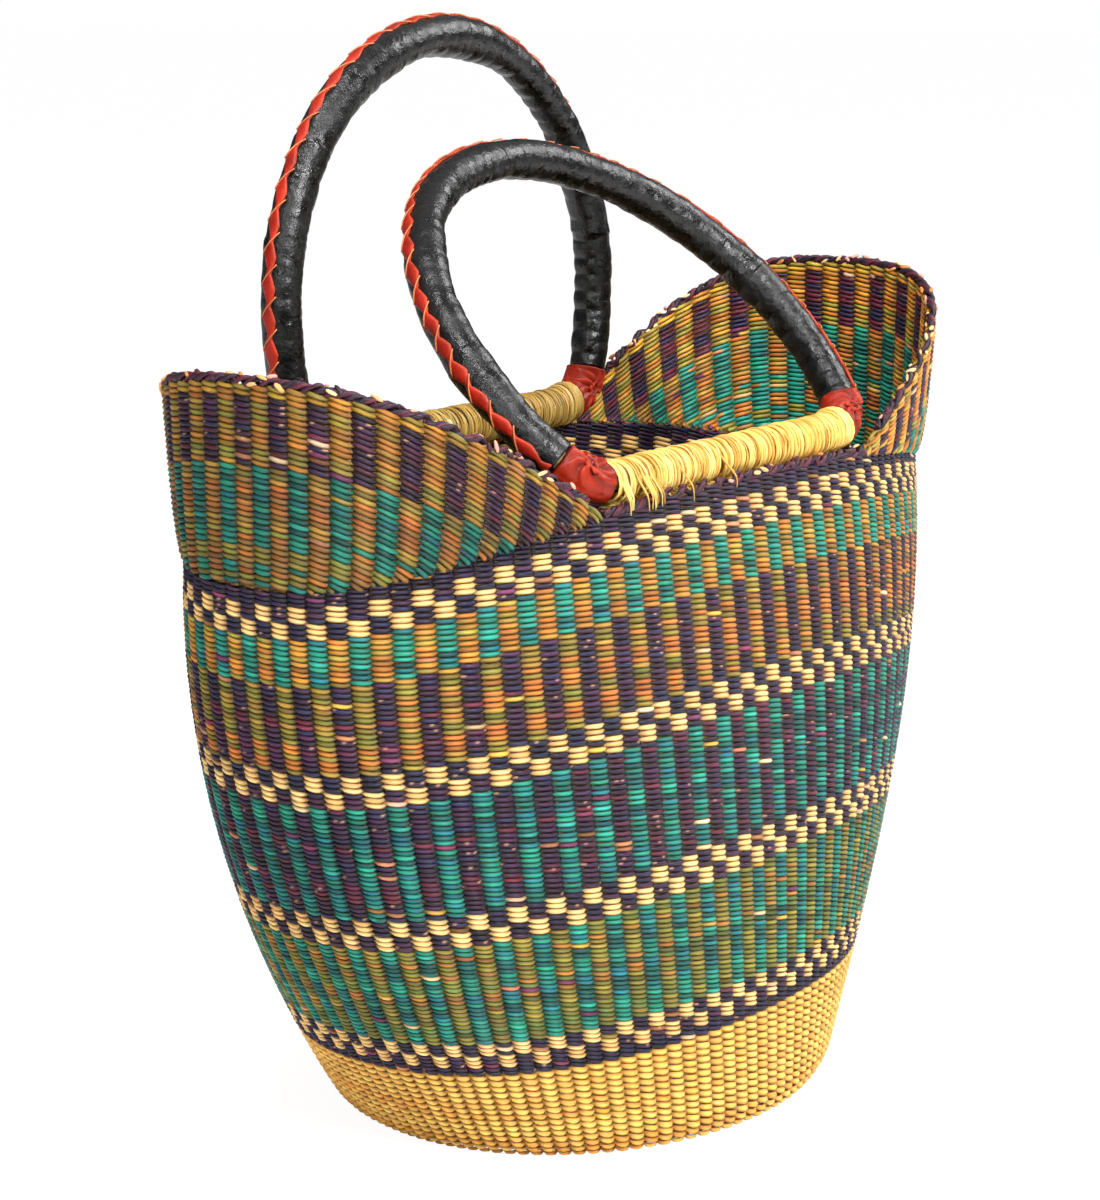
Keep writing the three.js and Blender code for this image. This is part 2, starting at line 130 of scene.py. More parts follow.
# Straw colours, each with the share of straws that have it
PALETTES = {
    "natural": (("F4B854", 5), ("FAC45E", 4), ("F0AE4C", 3), ("E8A040", 1)),
    "cream": (("F0BC74", 4), ("F8CA80", 4), ("E4AC66", 2)),
    "dark": (("221730", 5), ("291934", 3), ("1C1A36", 2), ("3A1B34", 3)),
    "purple": (("2C162A", 5), ("3A1A3A", 3), ("24203E", 2), ("4E1E36", 2), ("5A1C2E", 2)),
    "teal": (("187A66", 5), ("228A74", 4), ("115650", 3), ("186A70", 2)),
    "olive": (("7E762A", 4), ("8C7A30", 4), ("6C6C2A", 3), ("A06C2A", 3), ("5C682E", 2)),
    "warm_olive": (("8C782A", 4), ("A07C30", 4), ("BC702A", 4), ("747028", 3)),
    "orange": (("C27E2A", 4), ("AE6C28", 3), ("B0802E", 4), ("9A8232", 3)),
    "gold": (("C8962C", 4), ("A8903A", 4), ("C8842A", 3), ("8C8432", 2)),
    "wing_gold": (("B08630", 5), ("A08C38", 3), ("BC7A2A", 4), ("CC862C", 2), ("8C8432", 2)),
    "rust": (("B86E2A", 4), ("A07434", 3), ("B08634", 3), ("8C7434", 2)),
    "mixed_rust": (("B86E2A", 3), ("A07434", 3), ("8C8432", 4), ("1A8470", 2), ("DCAC68", 1)),
    "mixed_teal": (("1A8470", 5), ("279680", 3), ("8C8432", 3), ("B86E2A", 1)),
}
# Straws that turn up here and there among the dyed ones, and the share of floats that they make
STRAYS = ("B87A50", "C8A040", "8A5A2B", "6A2F50", "742C4C", "E6BE90")
STRAY_SHARE = {"natural": 0, "cream": 0, "dark": 0.04, "purple": 0.045}
OTHER_STRAY_SHARE = 0.022
# Undyed ends that peek out between the dark floats
PEEK_SHARE = {"dark": 0.02, "purple": 0.035}
PEEK_COLOR = "C89474"
# How far the lightness of the floats differs, and its limits
EVEN_SPREAD, UNEVEN_SPREAD = 0.07, 0.2
DARKEST, LIGHTEST = 0.5, 1.6
# The fewest and the most stakes that one straw passes
STRAW_RUN = (10, 36)

# Bands from the foot up: node, lowest and highest level, slot, and groups of rows, each with
# their count, the colour over even stakes and the colour over odd stakes
BANDS = (
    ("foot_band", 0, 0.178, "natural_straw", ((15, "natural", "natural"),)),
    ("lower_check_band", 0.178, 0.24, "check_straw",
     ((2, "dark", "dark"), (3, "cream", "dark"), (3, "dark", "cream"))),
    ("teal_olive_band", 0.24, 0.418, "teal_olive_straw", ((23, "olive", "teal"),)),
    ("second_check_band", 0.418, 0.471, "check_straw", ((3, "dark", "cream"), (3, "cream", "dark"))),
    ("teal_purple_band", 0.471, 0.663, "teal_purple_straw", ((24, "purple", "teal"),)),
    ("third_check_band", 0.663, 0.716, "check_straw", ((3, "cream", "dark"), (3, "dark", "cream"))),
    ("olive_purple_band", 0.716, 0.856, "olive_purple_straw", ((17, "warm_olive", "purple"),)),
    ("teal_orange_band", 0.856, 0.929, "teal_orange_straw", ((9, "teal", "orange"),)),
    ("top_check_band", 0.929, 0.979, "check_straw", ((3, "cream", "dark"), (3, "dark", "cream"))),
    ("dark_rim_band", 0.979, 1, "dark_straw", ((3, "dark", "dark"),)),
)
# Rows of a wing from its edge down; the last colours go on to its foot
WING_ROWS = ((2, "gold", "gold"), (12, "purple", "wing_gold"), (11, "rust", "teal"),
             (99, "mixed_rust", "mixed_teal"))


# Small helpers

def linear(code):
    """Linear colour of a six digit sRGB code."""
    values = np.array([int(code[i:i + 2], 16) / 255 for i in (0, 2, 4)])
    return np.where(values <= 0.04045, values / 12.92, ((values + 0.055) / 1.055) ** 2.4)


def lerp(low, high, share):
    return low + (high - low) * share


def signed_power(value, power):
    return np.sign(value) * np.abs(value) ** power


def unit(vectors):
    return vectors / np.linalg.norm(vectors, axis=-1, keepdims=True)


def lengths_along(points):
    return np.concatenate([[0], np.cumsum(np.linalg.norm(np.diff(points, axis=0), axis=1))])


def ring_angles(sides):
    return 2 * np.pi * np.arange(sides) / sides


def angle_apart(angle, other):
    """The way from one angle to another, from half a turn back to half a turn on."""
    return (angle - other + np.pi) % (2 * np.pi) - np.pi


def wander(positions, amount, spacing, rng):
    """Smooth random values from -amount to amount along positions, one knot every spacing."""
    low = positions.min()
    values = rng.uniform(-1, 1, int((positions.max() - low) / spacing) + 3)
    place = (positions - low) / spacing
    index = np.floor(place).astype(int)
    share = place - index
    return amount * lerp(values[index], values[index + 1], share * share * (3 - 2 * share))


def vary(positions, amount, spacing, rng):
    """Factors that wander round 1 along positions."""
    return 1 + wander(positions, amount, spacing, rng)


def seeded(number):
    """The random numbers of one piece."""
    return np.random.default_rng([SEED, number])


def place_object(name, data):
    thing = bpy.data.objects.new(name, data)
    bpy.context.scene.collection.objects.link(thing)
    return thing


def rings_round(centre, first, second, first_reach, second_reach, sides):
    """Rings round a line, their corners that far along two directions.

    A reach is one length, one for each ring or one for each corner of each ring.
    """
    turn = ring_angles(sides)
    rings = centre[:, None]
    for direction, reach, wave in (first, first_reach, np.cos(turn)), (second, second_reach, np.sin(turn)):
        if np.ndim(reach) == 1:
            reach = reach[:, None]
        rings = rings + direction[..., None, :] * (reach * wave)[..., None]
    return rings


# Meshes made of closed tubes

# Where a tube's faces and its two caps lie in its strip of texture space
STRIP_LENGTH, STRIP_MARGIN = 0.97, 0.06
CAP_PLACE, CAP_STEP, CAP_RADIUS, CAP_HALF_HEIGHT = 0.978, 0.013, 0.005, 0.4


class Tubes:
    """Tubes gathered into one mesh, with a colour, a fibre coordinate and a grid of texture space."""

    def __init__(self):
        self.tubes = []

    def add(self, rings, colors, along, looped=False, offset=0.0):
        """rings is (steps, sides, 3), colors one, one for each ring or for each corner, along in metres."""
        steps, sides, _ = rings.shape
        if np.ndim(colors) == 1:
            colors = np.broadcast_to(colors, (steps, 3))
        if np.ndim(colors) == 2:
            colors = np.repeat(colors[:, None, :], sides, axis=1)
        self.tubes.append((rings, colors, along + offset, looped))
        return self

    def add_straw(self, rings, colors, along, rng, looped=False):
        """A tube with its own stretch of fibres."""
        return self.add(rings, colors, along, looped, rng.uniform(0, FIBRE_RANGE))

    def strip_counts(self):
        """How many strips of texture space each tube is cut into, so that its faces aren't stretched."""
        counts = []
        for rings, _, _, looped in self.tubes:
            length = np.linalg.norm(np.diff(rings[:, 0], axis=0), axis=1).sum()
            girth = np.linalg.norm(rings[0] - np.roll(rings[0], 1, axis=0), axis=1).sum()
            even = round(math.sqrt(length / (girth * len(self.tubes))))
            counts.append(max(1, min(len(rings) - (not looped), even)))
        return counts

    def build(self, name):
        points, shades, fibres, quads, uvs, caps, cap_uvs = [], [], [], [], [], [], []
        cuts = self.strip_counts()
        strips = sum(cuts)
        first_vertex = 0
        first_strip = 0
        for (rings, colors, along, looped), cut in zip(self.tubes, cuts):
            steps, sides, _ = rings.shape
            spans = steps if looped else steps - 1
            turn = ring_angles(sides)
            points.append(rings.reshape(-1, 3))
            shades.append(colors.reshape(-1, 3))
            fibre = np.empty((steps, sides, 3))
            fibre[..., 0] = along[:, None]
            fibre[..., 1] = np.cos(turn)
            fibre[..., 2] = np.sin(turn)
            fibres.append(fibre.reshape(-1, 3))
            step, side = (part.ravel() for part in np.indices((spans, sides)))
            after, beside = (step + 1) % steps, (side + 1) % sides
            corners = np.stack([step * sides + side, after * sides + side,
                                after * sides + beside, step * sides + beside], axis=1)
            flat = points[-1] - points[-1].mean(axis=0)
            a, b, c, d = (flat[corners[:, i]] for i in range(4))
            outwards = np.einsum("ij,ij->i", a, np.cross(b, c) + np.cross(c, d)).sum() > 0
            per_strip = math.ceil(spans / cut)
            strip = first_strip + step // per_strip + STRIP_MARGIN
            left = (step % per_strip) / per_strip * STRIP_LENGTH
            right = left + STRIP_LENGTH / per_strip
            height = (1 - 2 * STRIP_MARGIN) / sides
            low, high = ((strip + height * edge) / strips for edge in (side, side + 1))
            uv = np.stack([left, low, right, low, right, high, left, high], axis=1).reshape(-1, 4, 2)
            way = 1 if outwards else -1
            quads.append(first_vertex + corners[:, ::way])
            uvs.append(uv[:, ::way].reshape(-1, 2))
            if not looped:
                for number, (end, cap_way) in enumerate(((0, way), (steps - 1, -way))):
                    ring = first_vertex + end * sides + np.arange(sides)
                    middle = (first_strip + number * (cut - 1) + 0.5) / strips
                    cap_uv = np.stack([CAP_PLACE + CAP_STEP * number + CAP_RADIUS * np.cos(turn),
                                       middle + CAP_HALF_HEIGHT / strips * np.sin(turn)], axis=1)
                    caps.append(ring[::cap_way])
                    cap_uvs.append(cap_uv[::cap_way])
            first_vertex += steps * sides
            first_strip += cut
        points = np.concatenate(points)
        quads = np.concatenate(quads)
        loops = np.concatenate([quads.ravel()] + caps)
        totals = np.concatenate([np.full(len(quads), 4)] + [[len(cap)] for cap in caps])
        starts = np.concatenate([[0], np.cumsum(totals)[:-1]])
        rgba = np.ones((len(points), 4))
        rgba[:, :3] = np.clip(np.concatenate(shades), 0, 1)
        mesh = bpy.data.meshes.new(name)
        mesh.vertices.add(len(points))
        mesh.vertices.foreach_set("co", points.ravel())
        mesh.loops.add(len(loops))
        mesh.loops.foreach_set("vertex_index", loops.astype(np.int32))
        mesh.polygons.add(len(totals))
        mesh.polygons.foreach_set("loop_start", starts.astype(np.int32))
        mesh.polygons.foreach_set("use_smooth", np.ones(len(totals), bool))
        mesh.update(calc_edges=True)
        shade = mesh.attributes.new("Straw", "FLOAT_COLOR", "POINT")
        shade.data.foreach_set("color", rgba.ravel())
        fibre = mesh.attributes.new("Fibre", "FLOAT_VECTOR", "POINT")
        fibre.data.foreach_set("vector", np.concatenate(fibres).ravel())
        layer = mesh.uv_layers.new(name="OFBake")
        layer.data.foreach_set("uv", np.concatenate(uvs + cap_uvs).ravel())
        mesh.validate()
        return place_object(name, mesh)


def dress(tubes, name, body, slot, *nodes):
    """Makes the piece, gives it its material and body, and lets it stand for its nodes."""
    piece = tubes.build(name)
    piece.data.materials.append(MATERIALS[slot])
    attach(piece, body)
    if nodes:
        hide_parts(*nodes)


# Materials

class Tree:
    """A material's or a world's node tree, with short ways to add nodes and to link them."""

    def __init__(self, holder):
        holder.use_nodes = True
        self.nodes = holder.node_tree.nodes
        self.links = holder.node_tree.links

    def feed(self, node, inputs):
        """Links an input to the socket given for it, or sets it to the value."""
        for name, value in inputs.items():
            if isinstance(value, bpy.types.NodeSocket):
                self.links.new(value, node.inputs[name])
            else:
                node.inputs[name].default_value = value

    def add(self, kind, output, inputs=None, **settings):
        """Adds a node and returns its output."""
        node = self.nodes.new(kind)
        for name, value in settings.items():
            setattr(node, name, value)
        self.feed(node, inputs or {})
        return node.outputs[output]

    def straw_color(self):
        return self.add("ShaderNodeAttribute", "Color", attribute_name="Straw")

    def camera_ray(self):
        return self.add("ShaderNodeLightPath", "Is Camera Ray")

    def fibre(self, along, across):
        """The fibre coordinate stretched so that noise runs in streaks along a strand."""
        place = self.add("ShaderNodeAttribute", "Vector", attribute_name="Fibre")
        return self.add("ShaderNodeVectorMath", "Vector", {0: place, 1: (along, across, across)},
                        operation="MULTIPLY")

    def noise(self, vector, detail, roughness):
        return self.add("ShaderNodeTexNoise", "Fac",
                        {"Vector": vector, "Scale": 1, "Detail": detail, "Roughness": roughness})

    def remap(self, value, low, high, to_low, to_high):
        return self.add("ShaderNodeMapRange", "Result", {
            "Value": value, "From Min": low, "From Max": high, "To Min": to_low, "To Max": to_high})

    def scale(self, vector, factor):
        return self.add("ShaderNodeVectorMath", "Vector", {0: vector, "Scale": factor}, operation="SCALE")

    def bump(self, height, strength, distance, **normal):
        return self.add("ShaderNodeBump", "Normal",
                        {"Height": height, "Strength": strength, "Distance": distance, **normal})


# Streaks and ridges of straw: repeats along a metre of it and across its girth
STREAK_REPEATS, RIDGE_REPEATS = (160, 1.6), (90, 5)
RIDGE_HEIGHT = 0.4 * MM
STRAW_ROUGHNESS = 0.45
# Repeats along a metre of leather, and the heights of its grain and wrinkles
BLOTCH_REPEATS, WRINKLE_REPEATS = 110, 240
GRAIN_HEIGHT, WRINKLE_HEIGHT = 0.12 * MM, 1.0 * MM


def straw_material(name):
    """Dyed or plain straw: the strand's own colour with streaks and fine ridges along it."""
    material = bpy.data.materials.new(name)
    tree = Tree(material)
    streaks = tree.noise(tree.fibre(*STREAK_REPEATS), 3, 0.55)
    ridges = tree.noise(tree.fibre(*RIDGE_REPEATS), 2, 0.55)
    tree.feed(tree.nodes["Principled BSDF"], {
        "Specular IOR Level": 0.4,
        "Base Color": tree.scale(tree.straw_color(), tree.remap(streaks, 0.25, 0.75, 0.74, 1.22)),
        "Roughness": tree.remap(streaks, 0.3, 0.7, STRAW_ROUGHNESS - 0.1, STRAW_ROUGHNESS + 0.14),
        "Normal": tree.bump(ridges, 0.3, RIDGE_HEIGHT),
    })
    return material


def leather_material(name, roughness, shine, grain_repeats, wrinkle, color_spread):
    """Thin worn leather: fine grain, soft wrinkles and slightly uneven colour and gloss."""
    material = bpy.data.materials.new(name)
    tree = Tree(material)
    place = tree.add("ShaderNodeTexCoord", "Object")
    blotches = tree.noise(tree.scale(place, BLOTCH_REPEATS), 4, 0.6)
    wrinkles = tree.noise(tree.scale(place, WRINKLE_REPEATS), 4, 0.6)
    grain = tree.add("ShaderNodeTexVoronoi", "Distance",
                     {"Vector": tree.scale(place, grain_repeats), "Scale": 1})
    tone = tree.remap(blotches, 0.3, 0.7, 1 - color_spread, 1 + color_spread)
    fine = tree.bump(grain, 0.2, GRAIN_HEIGHT)
    tree.feed(tree.nodes["Principled BSDF"], {
        "Specular IOR Level": shine,
        "Base Color": tree.scale(tree.straw_color(), tone),
        "Roughness": tree.remap(blotches, 0.32, 0.68, roughness - 0.12, roughness + 0.2),
        "Normal": tree.bump(wrinkles, wrinkle, WRINKLE_HEIGHT, Normal=fine),
    })
    return material


MATERIALS = {
    slot: straw_material(slot)
    for slot in ("natural_straw", "check_straw", "teal_olive_straw", "teal_purple_straw",
                 "olive_purple_straw", "teal_orange_straw", "dark_straw", "wing_straw", "core_grass")
}
MATERIALS["black_leather"] = leather_material("black_leather", 0.28, 0.5, 1500, 0.8, 0.5)
MATERIALS["red_leather"] = leather_material("red_leather", 0.42, 0.3, 1300, 0.4, 0.3)


# The wall's surface

DENSE = np.linspace(0, 2 * np.pi, 2881)
# Levels this far apart give the wall's slope
LEVEL_STEP = 0.004


def ring_shape(level):
    """Half length, half width and power of the wall's outline at a level from 0 to 1."""
    rounding = FOOT_ROUNDING * max(0, 1 - level * RIM_HEIGHT / FOOT_ROUNDING_HEIGHT) ** 2
    return (
        lerp(FOOT_LENGTH, RIM_LENGTH, 1 - (1 - level) ** SPREAD_POWER) / 2 - rounding,
        lerp(FOOT_WIDTH, RIM_WIDTH, level ** PINCH_POWER) / 2 - rounding,
        lerp(FOOT_POWER, RIM_POWER, level ** OUTLINE_RISE_POWER),
    )


def outline(half_length, half_width, power, angle):
    x = half_length * signed_power(np.cos(angle), 2 / power)
    y = half_width * signed_power(np.sin(angle), 2 / power)
    return x, y


def wall_points(level, angle):
    x, y = outline(*ring_shape(level), angle)
    return np.stack([x, y, level * (RIM_HEIGHT - RIM_SADDLE * np.cos(2 * angle))], axis=-1)


def ring_share(stake):
    """Share of the way round the wall at a stake coordinate."""
    even = (stake - STAKE_PHASE) / STAKES
    return (even + QUARTER_CROWDING * np.sin(4 * np.pi * (even - QUARTER_PLACE))
            - HALF_CROWDING * np.sin(2 * np.pi * (even - HALF_PLACE)))


def stake_at(share):
    stakes = np.linspace(-STAKES, 2 * STAKES, 6001)
    return np.interp(share, ring_share(stakes), stakes)


def loop_forward(points):
    """Directions along a closed line."""
    return unit(np.roll(points, -1, axis=0) - np.roll(points, 1, axis=0))


def row_surface(level, stake):
    """Places, outward and upward directions at stake coordinates on the wall at one level."""
    def at(height):
        lengths = lengths_along(wall_points(height, DENSE))
        angle = np.interp((ring_share(stake) % 1) * lengths[-1], lengths, DENSE)
        return wall_points(height, angle)

    points = at(level)
    forward = loop_forward(points)
    outward = unit(np.cross(forward, at(min(level + LEVEL_STEP, 1)) - at(max(level - LEVEL_STEP, 0))))
    return points, outward, np.cross(outward, forward)


def straw_colors(stake, strand, palette, rng, looped):
    """Colour of one strand: a new straw every few stakes, each float a little lighter or darker, with
    painted shade where it dips between stakes and a painted highlight on its crest.
    """
    codes = [linear(code) for code, _ in PALETTES[palette]]
    shares = np.array([share for _, share in PALETTES[palette]], float)
    ends = np.cumsum(rng.uniform(*STRAW_RUN, int((stake[-1] - stake[0]) / STRAW_RUN[0]) + 2))
    picks = rng.choice(len(codes), size=len(ends) + 1, p=shares / shares.sum())
    base = np.array(codes)[picks[np.searchsorted(ends, stake - stake[0])]]
    floats = np.floor((stake - strand + 1) / 2).astype(int)
    floats -= floats.min()
    if looped:
        floats %= STAKES // 2
    count = floats.max() + 1
    spread = EVEN_SPREAD if palette in ("natural", "cream") else UNEVEN_SPREAD
    lightness = np.clip(rng.normal(1, spread, count), DARKEST, LIGHTEST) * rng.normal(1, spread / 3)
    hue = rng.normal(0, 0.3 * spread, (count, 3))
    strays = np.array([linear(code) for code in STRAYS])
    stray = (rng.random(count) < STRAY_SHARE.get(palette, OTHER_STRAY_SHARE))[floats]
    base[stray] = strays[rng.integers(len(strays), size=count)][floats[stray]]
    wave = np.abs(np.cos(np.pi * (stake - strand)))
    # Each float's own random lightness, times painted shade where it dips between stakes and a painted
    # highlight on its crest
    tone = lightness[floats] * lerp(DIP_PAINTED_SHADE, CREST_PAINTED_HIGHLIGHT, wave ** 0.7)
    return base * tone[:, None] * (1 + hue[floats])


def strand_rings(surface, phase, lift, thickness, half_height):
    """Rings of a strand that passes outside one stake and inside the next."""
    points, outward, upward = surface
    reach = STRAND_REACH * signed_power(np.cos(phase), REACH_POWER)
    centre = points + outward * reach[:, None] + upward * lift[:, None]
    return rings_round(centre, outward, upward, STRAND_HALF_DEPTH * thickness, half_height, STRAND_SIDES)


def twine(tubes, surface, stake, colors, height, rng, looped, tone=1.0):
    """Adds the two strands of one row. height is half the row's pitch, tone the painted light or shade on
    its straw.
    """
    for strand in (0, 1):
        phase = np.pi * (stake - strand)
        wobble = vary(stake, *STRAND_UNEVEN, rng)
        lift = height * wander(stake, *STRAND_WANDER, rng) - STRAND_TWIST * np.sin(phase)
        half_height = height * (FLOAT_THIN + FLOAT_SWELL * np.abs(np.cos(phase)) ** 0.9) * wobble
        rings = strand_rings(surface, phase, lift, wobble, half_height)
        shade = straw_colors(stake, strand, colors[strand], rng, looped)
        # Painted light or shade over the row's straw as tone gives it, and painted highlight and painted
        # shade on each side of the strand
        shade = tone * shade[:, None, :] * np.array(SIDE_PAINTED_SHADING)[:, None]
        peeks = rng.random(len(stake)) < PEEK_SHARE.get(colors[strand], 0)
        shade[peeks, 1] = linear(PEEK_COLOR)
        tubes.add_straw(rings, shade, stake * FIBRE_PER_STAKE, rng, looped)


def make_wall():
    stake = np.arange(STAKES * STEPS_PER_STAKE) / STEPS_PER_STAKE
    for number, (band, low, high, slot, groups) in enumerate(BANDS):
        rng = seeded(number)
        rows = [colors for count, *colors in groups for _ in range(count)]
        pitch = (high - low) / len(rows)
        pieces = math.ceil(len(rows) / ROWS_PER_PIECE)
        per_piece = math.ceil(len(rows) / pieces)
        for piece in range(pieces):
            tubes = Tubes()
            for row in range(piece * per_piece, min(len(rows), (piece + 1) * per_piece)):
                surface = row_surface(low + pitch * (row + 0.5), stake)
                twine(tubes, surface, stake, rows[row], pitch * RIM_HEIGHT / 2 * WALL_OVERLAP, rng, True)
            dress(tubes, f"{band}_weave_{piece + 1}", "basket", slot, band)


make_wall()


# The wings

WING_ANGLES = np.linspace(-WING_HALF_ANGLE, WING_HALF_ANGLE, 2401)
# Painted shade darkens the left wing's straw and painted light brightens the right wing's
WING_PAINTED_SHADING = {-1: 0.62, 1: 1.12}
# A wing's top row lies this share of a row below its edge
EDGE_INSET = 0.2
# Climbs this far to each side give the wing's slope
CLIMB_STEP = 0.02
# How far a row is pressed together or drawn apart, as shares of its pitch
ROW_LIMITS = (0.35, 1.6)


def crown_share(angle):
    turn = np.clip(np.abs(angle) / WING_HALF_ANGLE, 0, 1)
    return np.maximum(np.cos(turn * np.pi / 2), 0) ** WING_CROWN_POWER


def wing_points(side, angle, climb, lift=0.0):
    """Points between the low rim, climb 0, and the wing's edge, climb 1."""
    crown = crown_share(angle)
    flare = WING_FLARE * crown * np.maximum(climb, 0) ** WING_FLARE_POWER
    half_length, half_width, power = ring_shape(1)
    x, y = outline(half_length, half_width + flare, power, angle)
    z = RIM_HEIGHT - RIM_SADDLE * np.cos(2 * angle) + WING_RISE[side] * crown * climb + lift
    return np.stack([side * x, y, z], axis=-1)


def centred_lengths(points):
    lengths = lengths_along(points)
    return lengths - lengths[len(lengths) // 2]


def wing_stakes(side):
    """Stake coordinates along the wing's foot and along its edge, in the order of WING_ANGLES."""
    foot = centred_lengths(wing_points(side, WING_ANGLES, 0))
    edge = centred_lengths(wing_points(side, WING_ANGLES, 1))
    ring = lengths_along(wall_points(1, DENSE))[-1]
    foot_stakes = stake_at(foot / ring if side > 0 else 0.5 - foot / ring)
    return foot_stakes, np.interp(edge / edge[-1], foot / foot[-1], foot_stakes)


def make_wing(side, name, number):
    rng = seeded(number)
    foot_stakes, edge_stakes = wing_stakes(side)
    colors = [pair for count, *pair in WING_ROWS for _ in range(count)]
    rise = WING_RISE[side]
    total = rise * crown_share(WING_ANGLES)
    tubes = Tubes()
    piece = 0
    rows = int(rise / ROW_PITCH)
    for row in range(rows):
        depth = (row + EDGE_INSET) * ROW_PITCH
        inside = total > depth
        climb = (1 - depth / total[inside])[::side]
        place = lerp(foot_stakes[inside][::side], edge_stakes[inside][::side], climb)
        steps = max(4, round((place[-1] - place[0]) * STEPS_PER_STAKE))
        stake = np.linspace(place[0], place[-1], steps + 1)
        angle = np.interp(stake, place, WING_ANGLES[inside][::side])
        height = rise * crown_share(angle)
        share = 1 - depth / height
        points = wing_points(side, angle, share)
        up = wing_points(side, angle, share + CLIMB_STEP) - wing_points(side, angle, share - CLIMB_STEP)
        forward = unit(np.gradient(points, axis=0))
        outward = unit(np.cross(forward, up))
        upward = unit(np.cross(outward, forward))
        apart = np.abs(np.sum(up * upward, axis=1)) / (2 * CLIMB_STEP * height)
        half = ROW_PITCH / 2 * WING_OVERLAP * np.clip(apart, *ROW_LIMITS)
        # The wing's straw gets its painted light or shade
        twine(tubes, (points, outward, upward), stake, colors[row], half, rng, False, WING_PAINTED_SHADING[side])
        if len(tubes.tubes) >= 3 * ROWS_PER_PIECE or row == rows - 1:
            piece += 1
            dress(tubes, f"{name}_weave_{piece}", "basket", "wing_straw", name)
            tubes = Tubes()


make_wing(-1, "left_wing", 31)
make_wing(1, "right_wing", 32)


# The stakes that stand inside the weave

STAKE_LEVELS = np.linspace(0.01, 0.995, 26)
STAKE_CLIMBS = np.linspace(0, 1, 12)
STAKE_TONES, BASE_STAKE_TONES = (0.6, 1.0), (0.7, 1.0)
# Angles this far to each side give the direction along a wing
ANGLE_STEP = 0.01


def add_stake(tubes, points, outward, half_width, tones, rng):
    across = unit(np.cross(np.gradient(points, axis=0), outward))
    rings = rings_round(points, outward, across, STAKE_HALF_DEPTH, half_width, 6)
    shade = linear(STAKE_COLOR) * rng.uniform(*tones)
    tubes.add_straw(rings, shade, lengths_along(points), rng)


def make_stakes():
    rng = seeded(40)
    rows = [row_surface(level, np.arange(STAKES, dtype=float)) for level in STAKE_LEVELS]
    points, outward = (np.array([row[part] for row in rows]) for part in (0, 1))
    apart = np.linalg.norm(points - np.roll(points, 1, axis=1), axis=-1)
    tubes = Tubes()
    for stake in range(STAKES):
        half_width = STAKE_WIDTH_SHARE * apart[:, stake]
        add_stake(tubes, points[:, stake], outward[:, stake], half_width, STAKE_TONES, rng)
    dress(tubes, "wall_stakes", "basket", "natural_straw")
    tubes = Tubes()
    for side in (-1, 1):
        foot_stakes, edge_stakes = wing_stakes(side)
        places = [lerp(foot_stakes, edge_stakes, climb)[::side] for climb in STAKE_CLIMBS]

        def at(stake, turn=0.0):
            angles = np.array([np.interp(stake, place, WING_ANGLES[::side]) for place in places])
            return wing_points(side, angles + turn, STAKE_CLIMBS)

        first, last = sorted((foot_stakes[0], foot_stakes[-1]))
        for stake in range(math.ceil(first) + 1, math.floor(last)):
            points = at(stake)
            beside = at(stake, ANGLE_STEP) - at(stake, -ANGLE_STEP)
            outward = unit(np.cross(beside, np.gradient(points, axis=0))) * side
            half_width = STAKE_WIDTH_SHARE * np.linalg.norm(at(stake + 1) - points, axis=1)
            add_stake(tubes, points, outward, half_width, STAKE_TONES, rng)
    dress(tubes, "wing_stakes", "basket", "wing_straw")


make_stakes()


# The round woven base

def make_base():
    rng = seeded(41)
    half_length, half_width, power = ring_shape(0)
    half_length, half_width = half_length + BASE_OVERHANG, half_width + BASE_OVERHANG
    rows = int(half_width / BASE_ROW_PITCH)

    def at(shares, angle):
        x, y = outline(half_length * shares, half_width * shares, power, angle)
        return np.stack([x, y, np.full(len(x), BASE_THICKNESS / 2)], axis=-1)

    tubes = Tubes()
    piece = 0
    for row in range(rows):
        share = 1 - (row + 0.5) / rows
        halvings = min(BASE_TIERS - 1, math.floor(math.log2(1 / share)))
        floats = BASE_STAKES // 2 ** halvings
        count = floats * STEPS_PER_STAKE
        points = at(share, ring_angles(count))
        surface = points, -UP, np.cross(-UP, loop_forward(points))
        add_base_row(tubes, surface, np.arange(count) / STEPS_PER_STAKE, floats, half_width / rows / 2, rng)
        if row % ROWS_PER_PIECE == ROWS_PER_PIECE - 1 or row == rows - 1:
            piece += 1
            dress(tubes, f"base_weave_{piece}", "basket", "natural_straw", "base_disc")
            tubes = Tubes()
    for tier in range(BASE_TIERS):
        shares = np.linspace(0 if tier == BASE_TIERS - 1 else 0.5, 1, 6) / 2 ** tier
        for angle in ring_angles(BASE_STAKES // 2 ** tier):
            add_stake(tubes, at(shares, angle), -UP, BASE_STAKE_HALF_WIDTH, BASE_STAKE_TONES, rng)
    dress(tubes, "base_stakes", "basket", "natural_straw")


def add_base_row(tubes, surface, stake, floats, height, rng):
    codes = [linear(code) for code, _ in PALETTES["natural"]]
    for strand in (0, 1):
        phase = np.pi * (stake - strand)
        half_height = height * (BASE_FLOAT_THIN + BASE_FLOAT_SWELL * np.abs(np.cos(phase)) ** 0.8)
        rings = strand_rings(surface, phase, -STRAND_TWIST * np.sin(phase), 1, half_height)
        lightness = rng.normal(0.95, 0.1, floats)[(stake - strand).astype(int) % floats]
        shade = codes[rng.integers(len(codes))] * lightness[:, None]
        tubes.add_straw(rings, shade, stake * FIBRE_PER_STAKE, rng, True)


make_base()


# The twisted cords along the rim and the wings' edges

CORD_STEP = 0.8 * MM
CORD_SINK = 1 * MM
# Ranges of a strand's distance from the cord's middle and of its thickness
STRAND_OFFSET, STRAND_THICKNESS = (1.1 * MM, 1.4 * MM), (1.8 * MM, 2.3 * MM)
# Length of the first strand's full twist, and how much longer each next one's is
CORD_LAY, LAY_STEP = 12.5 * MM, 0.8 * MM
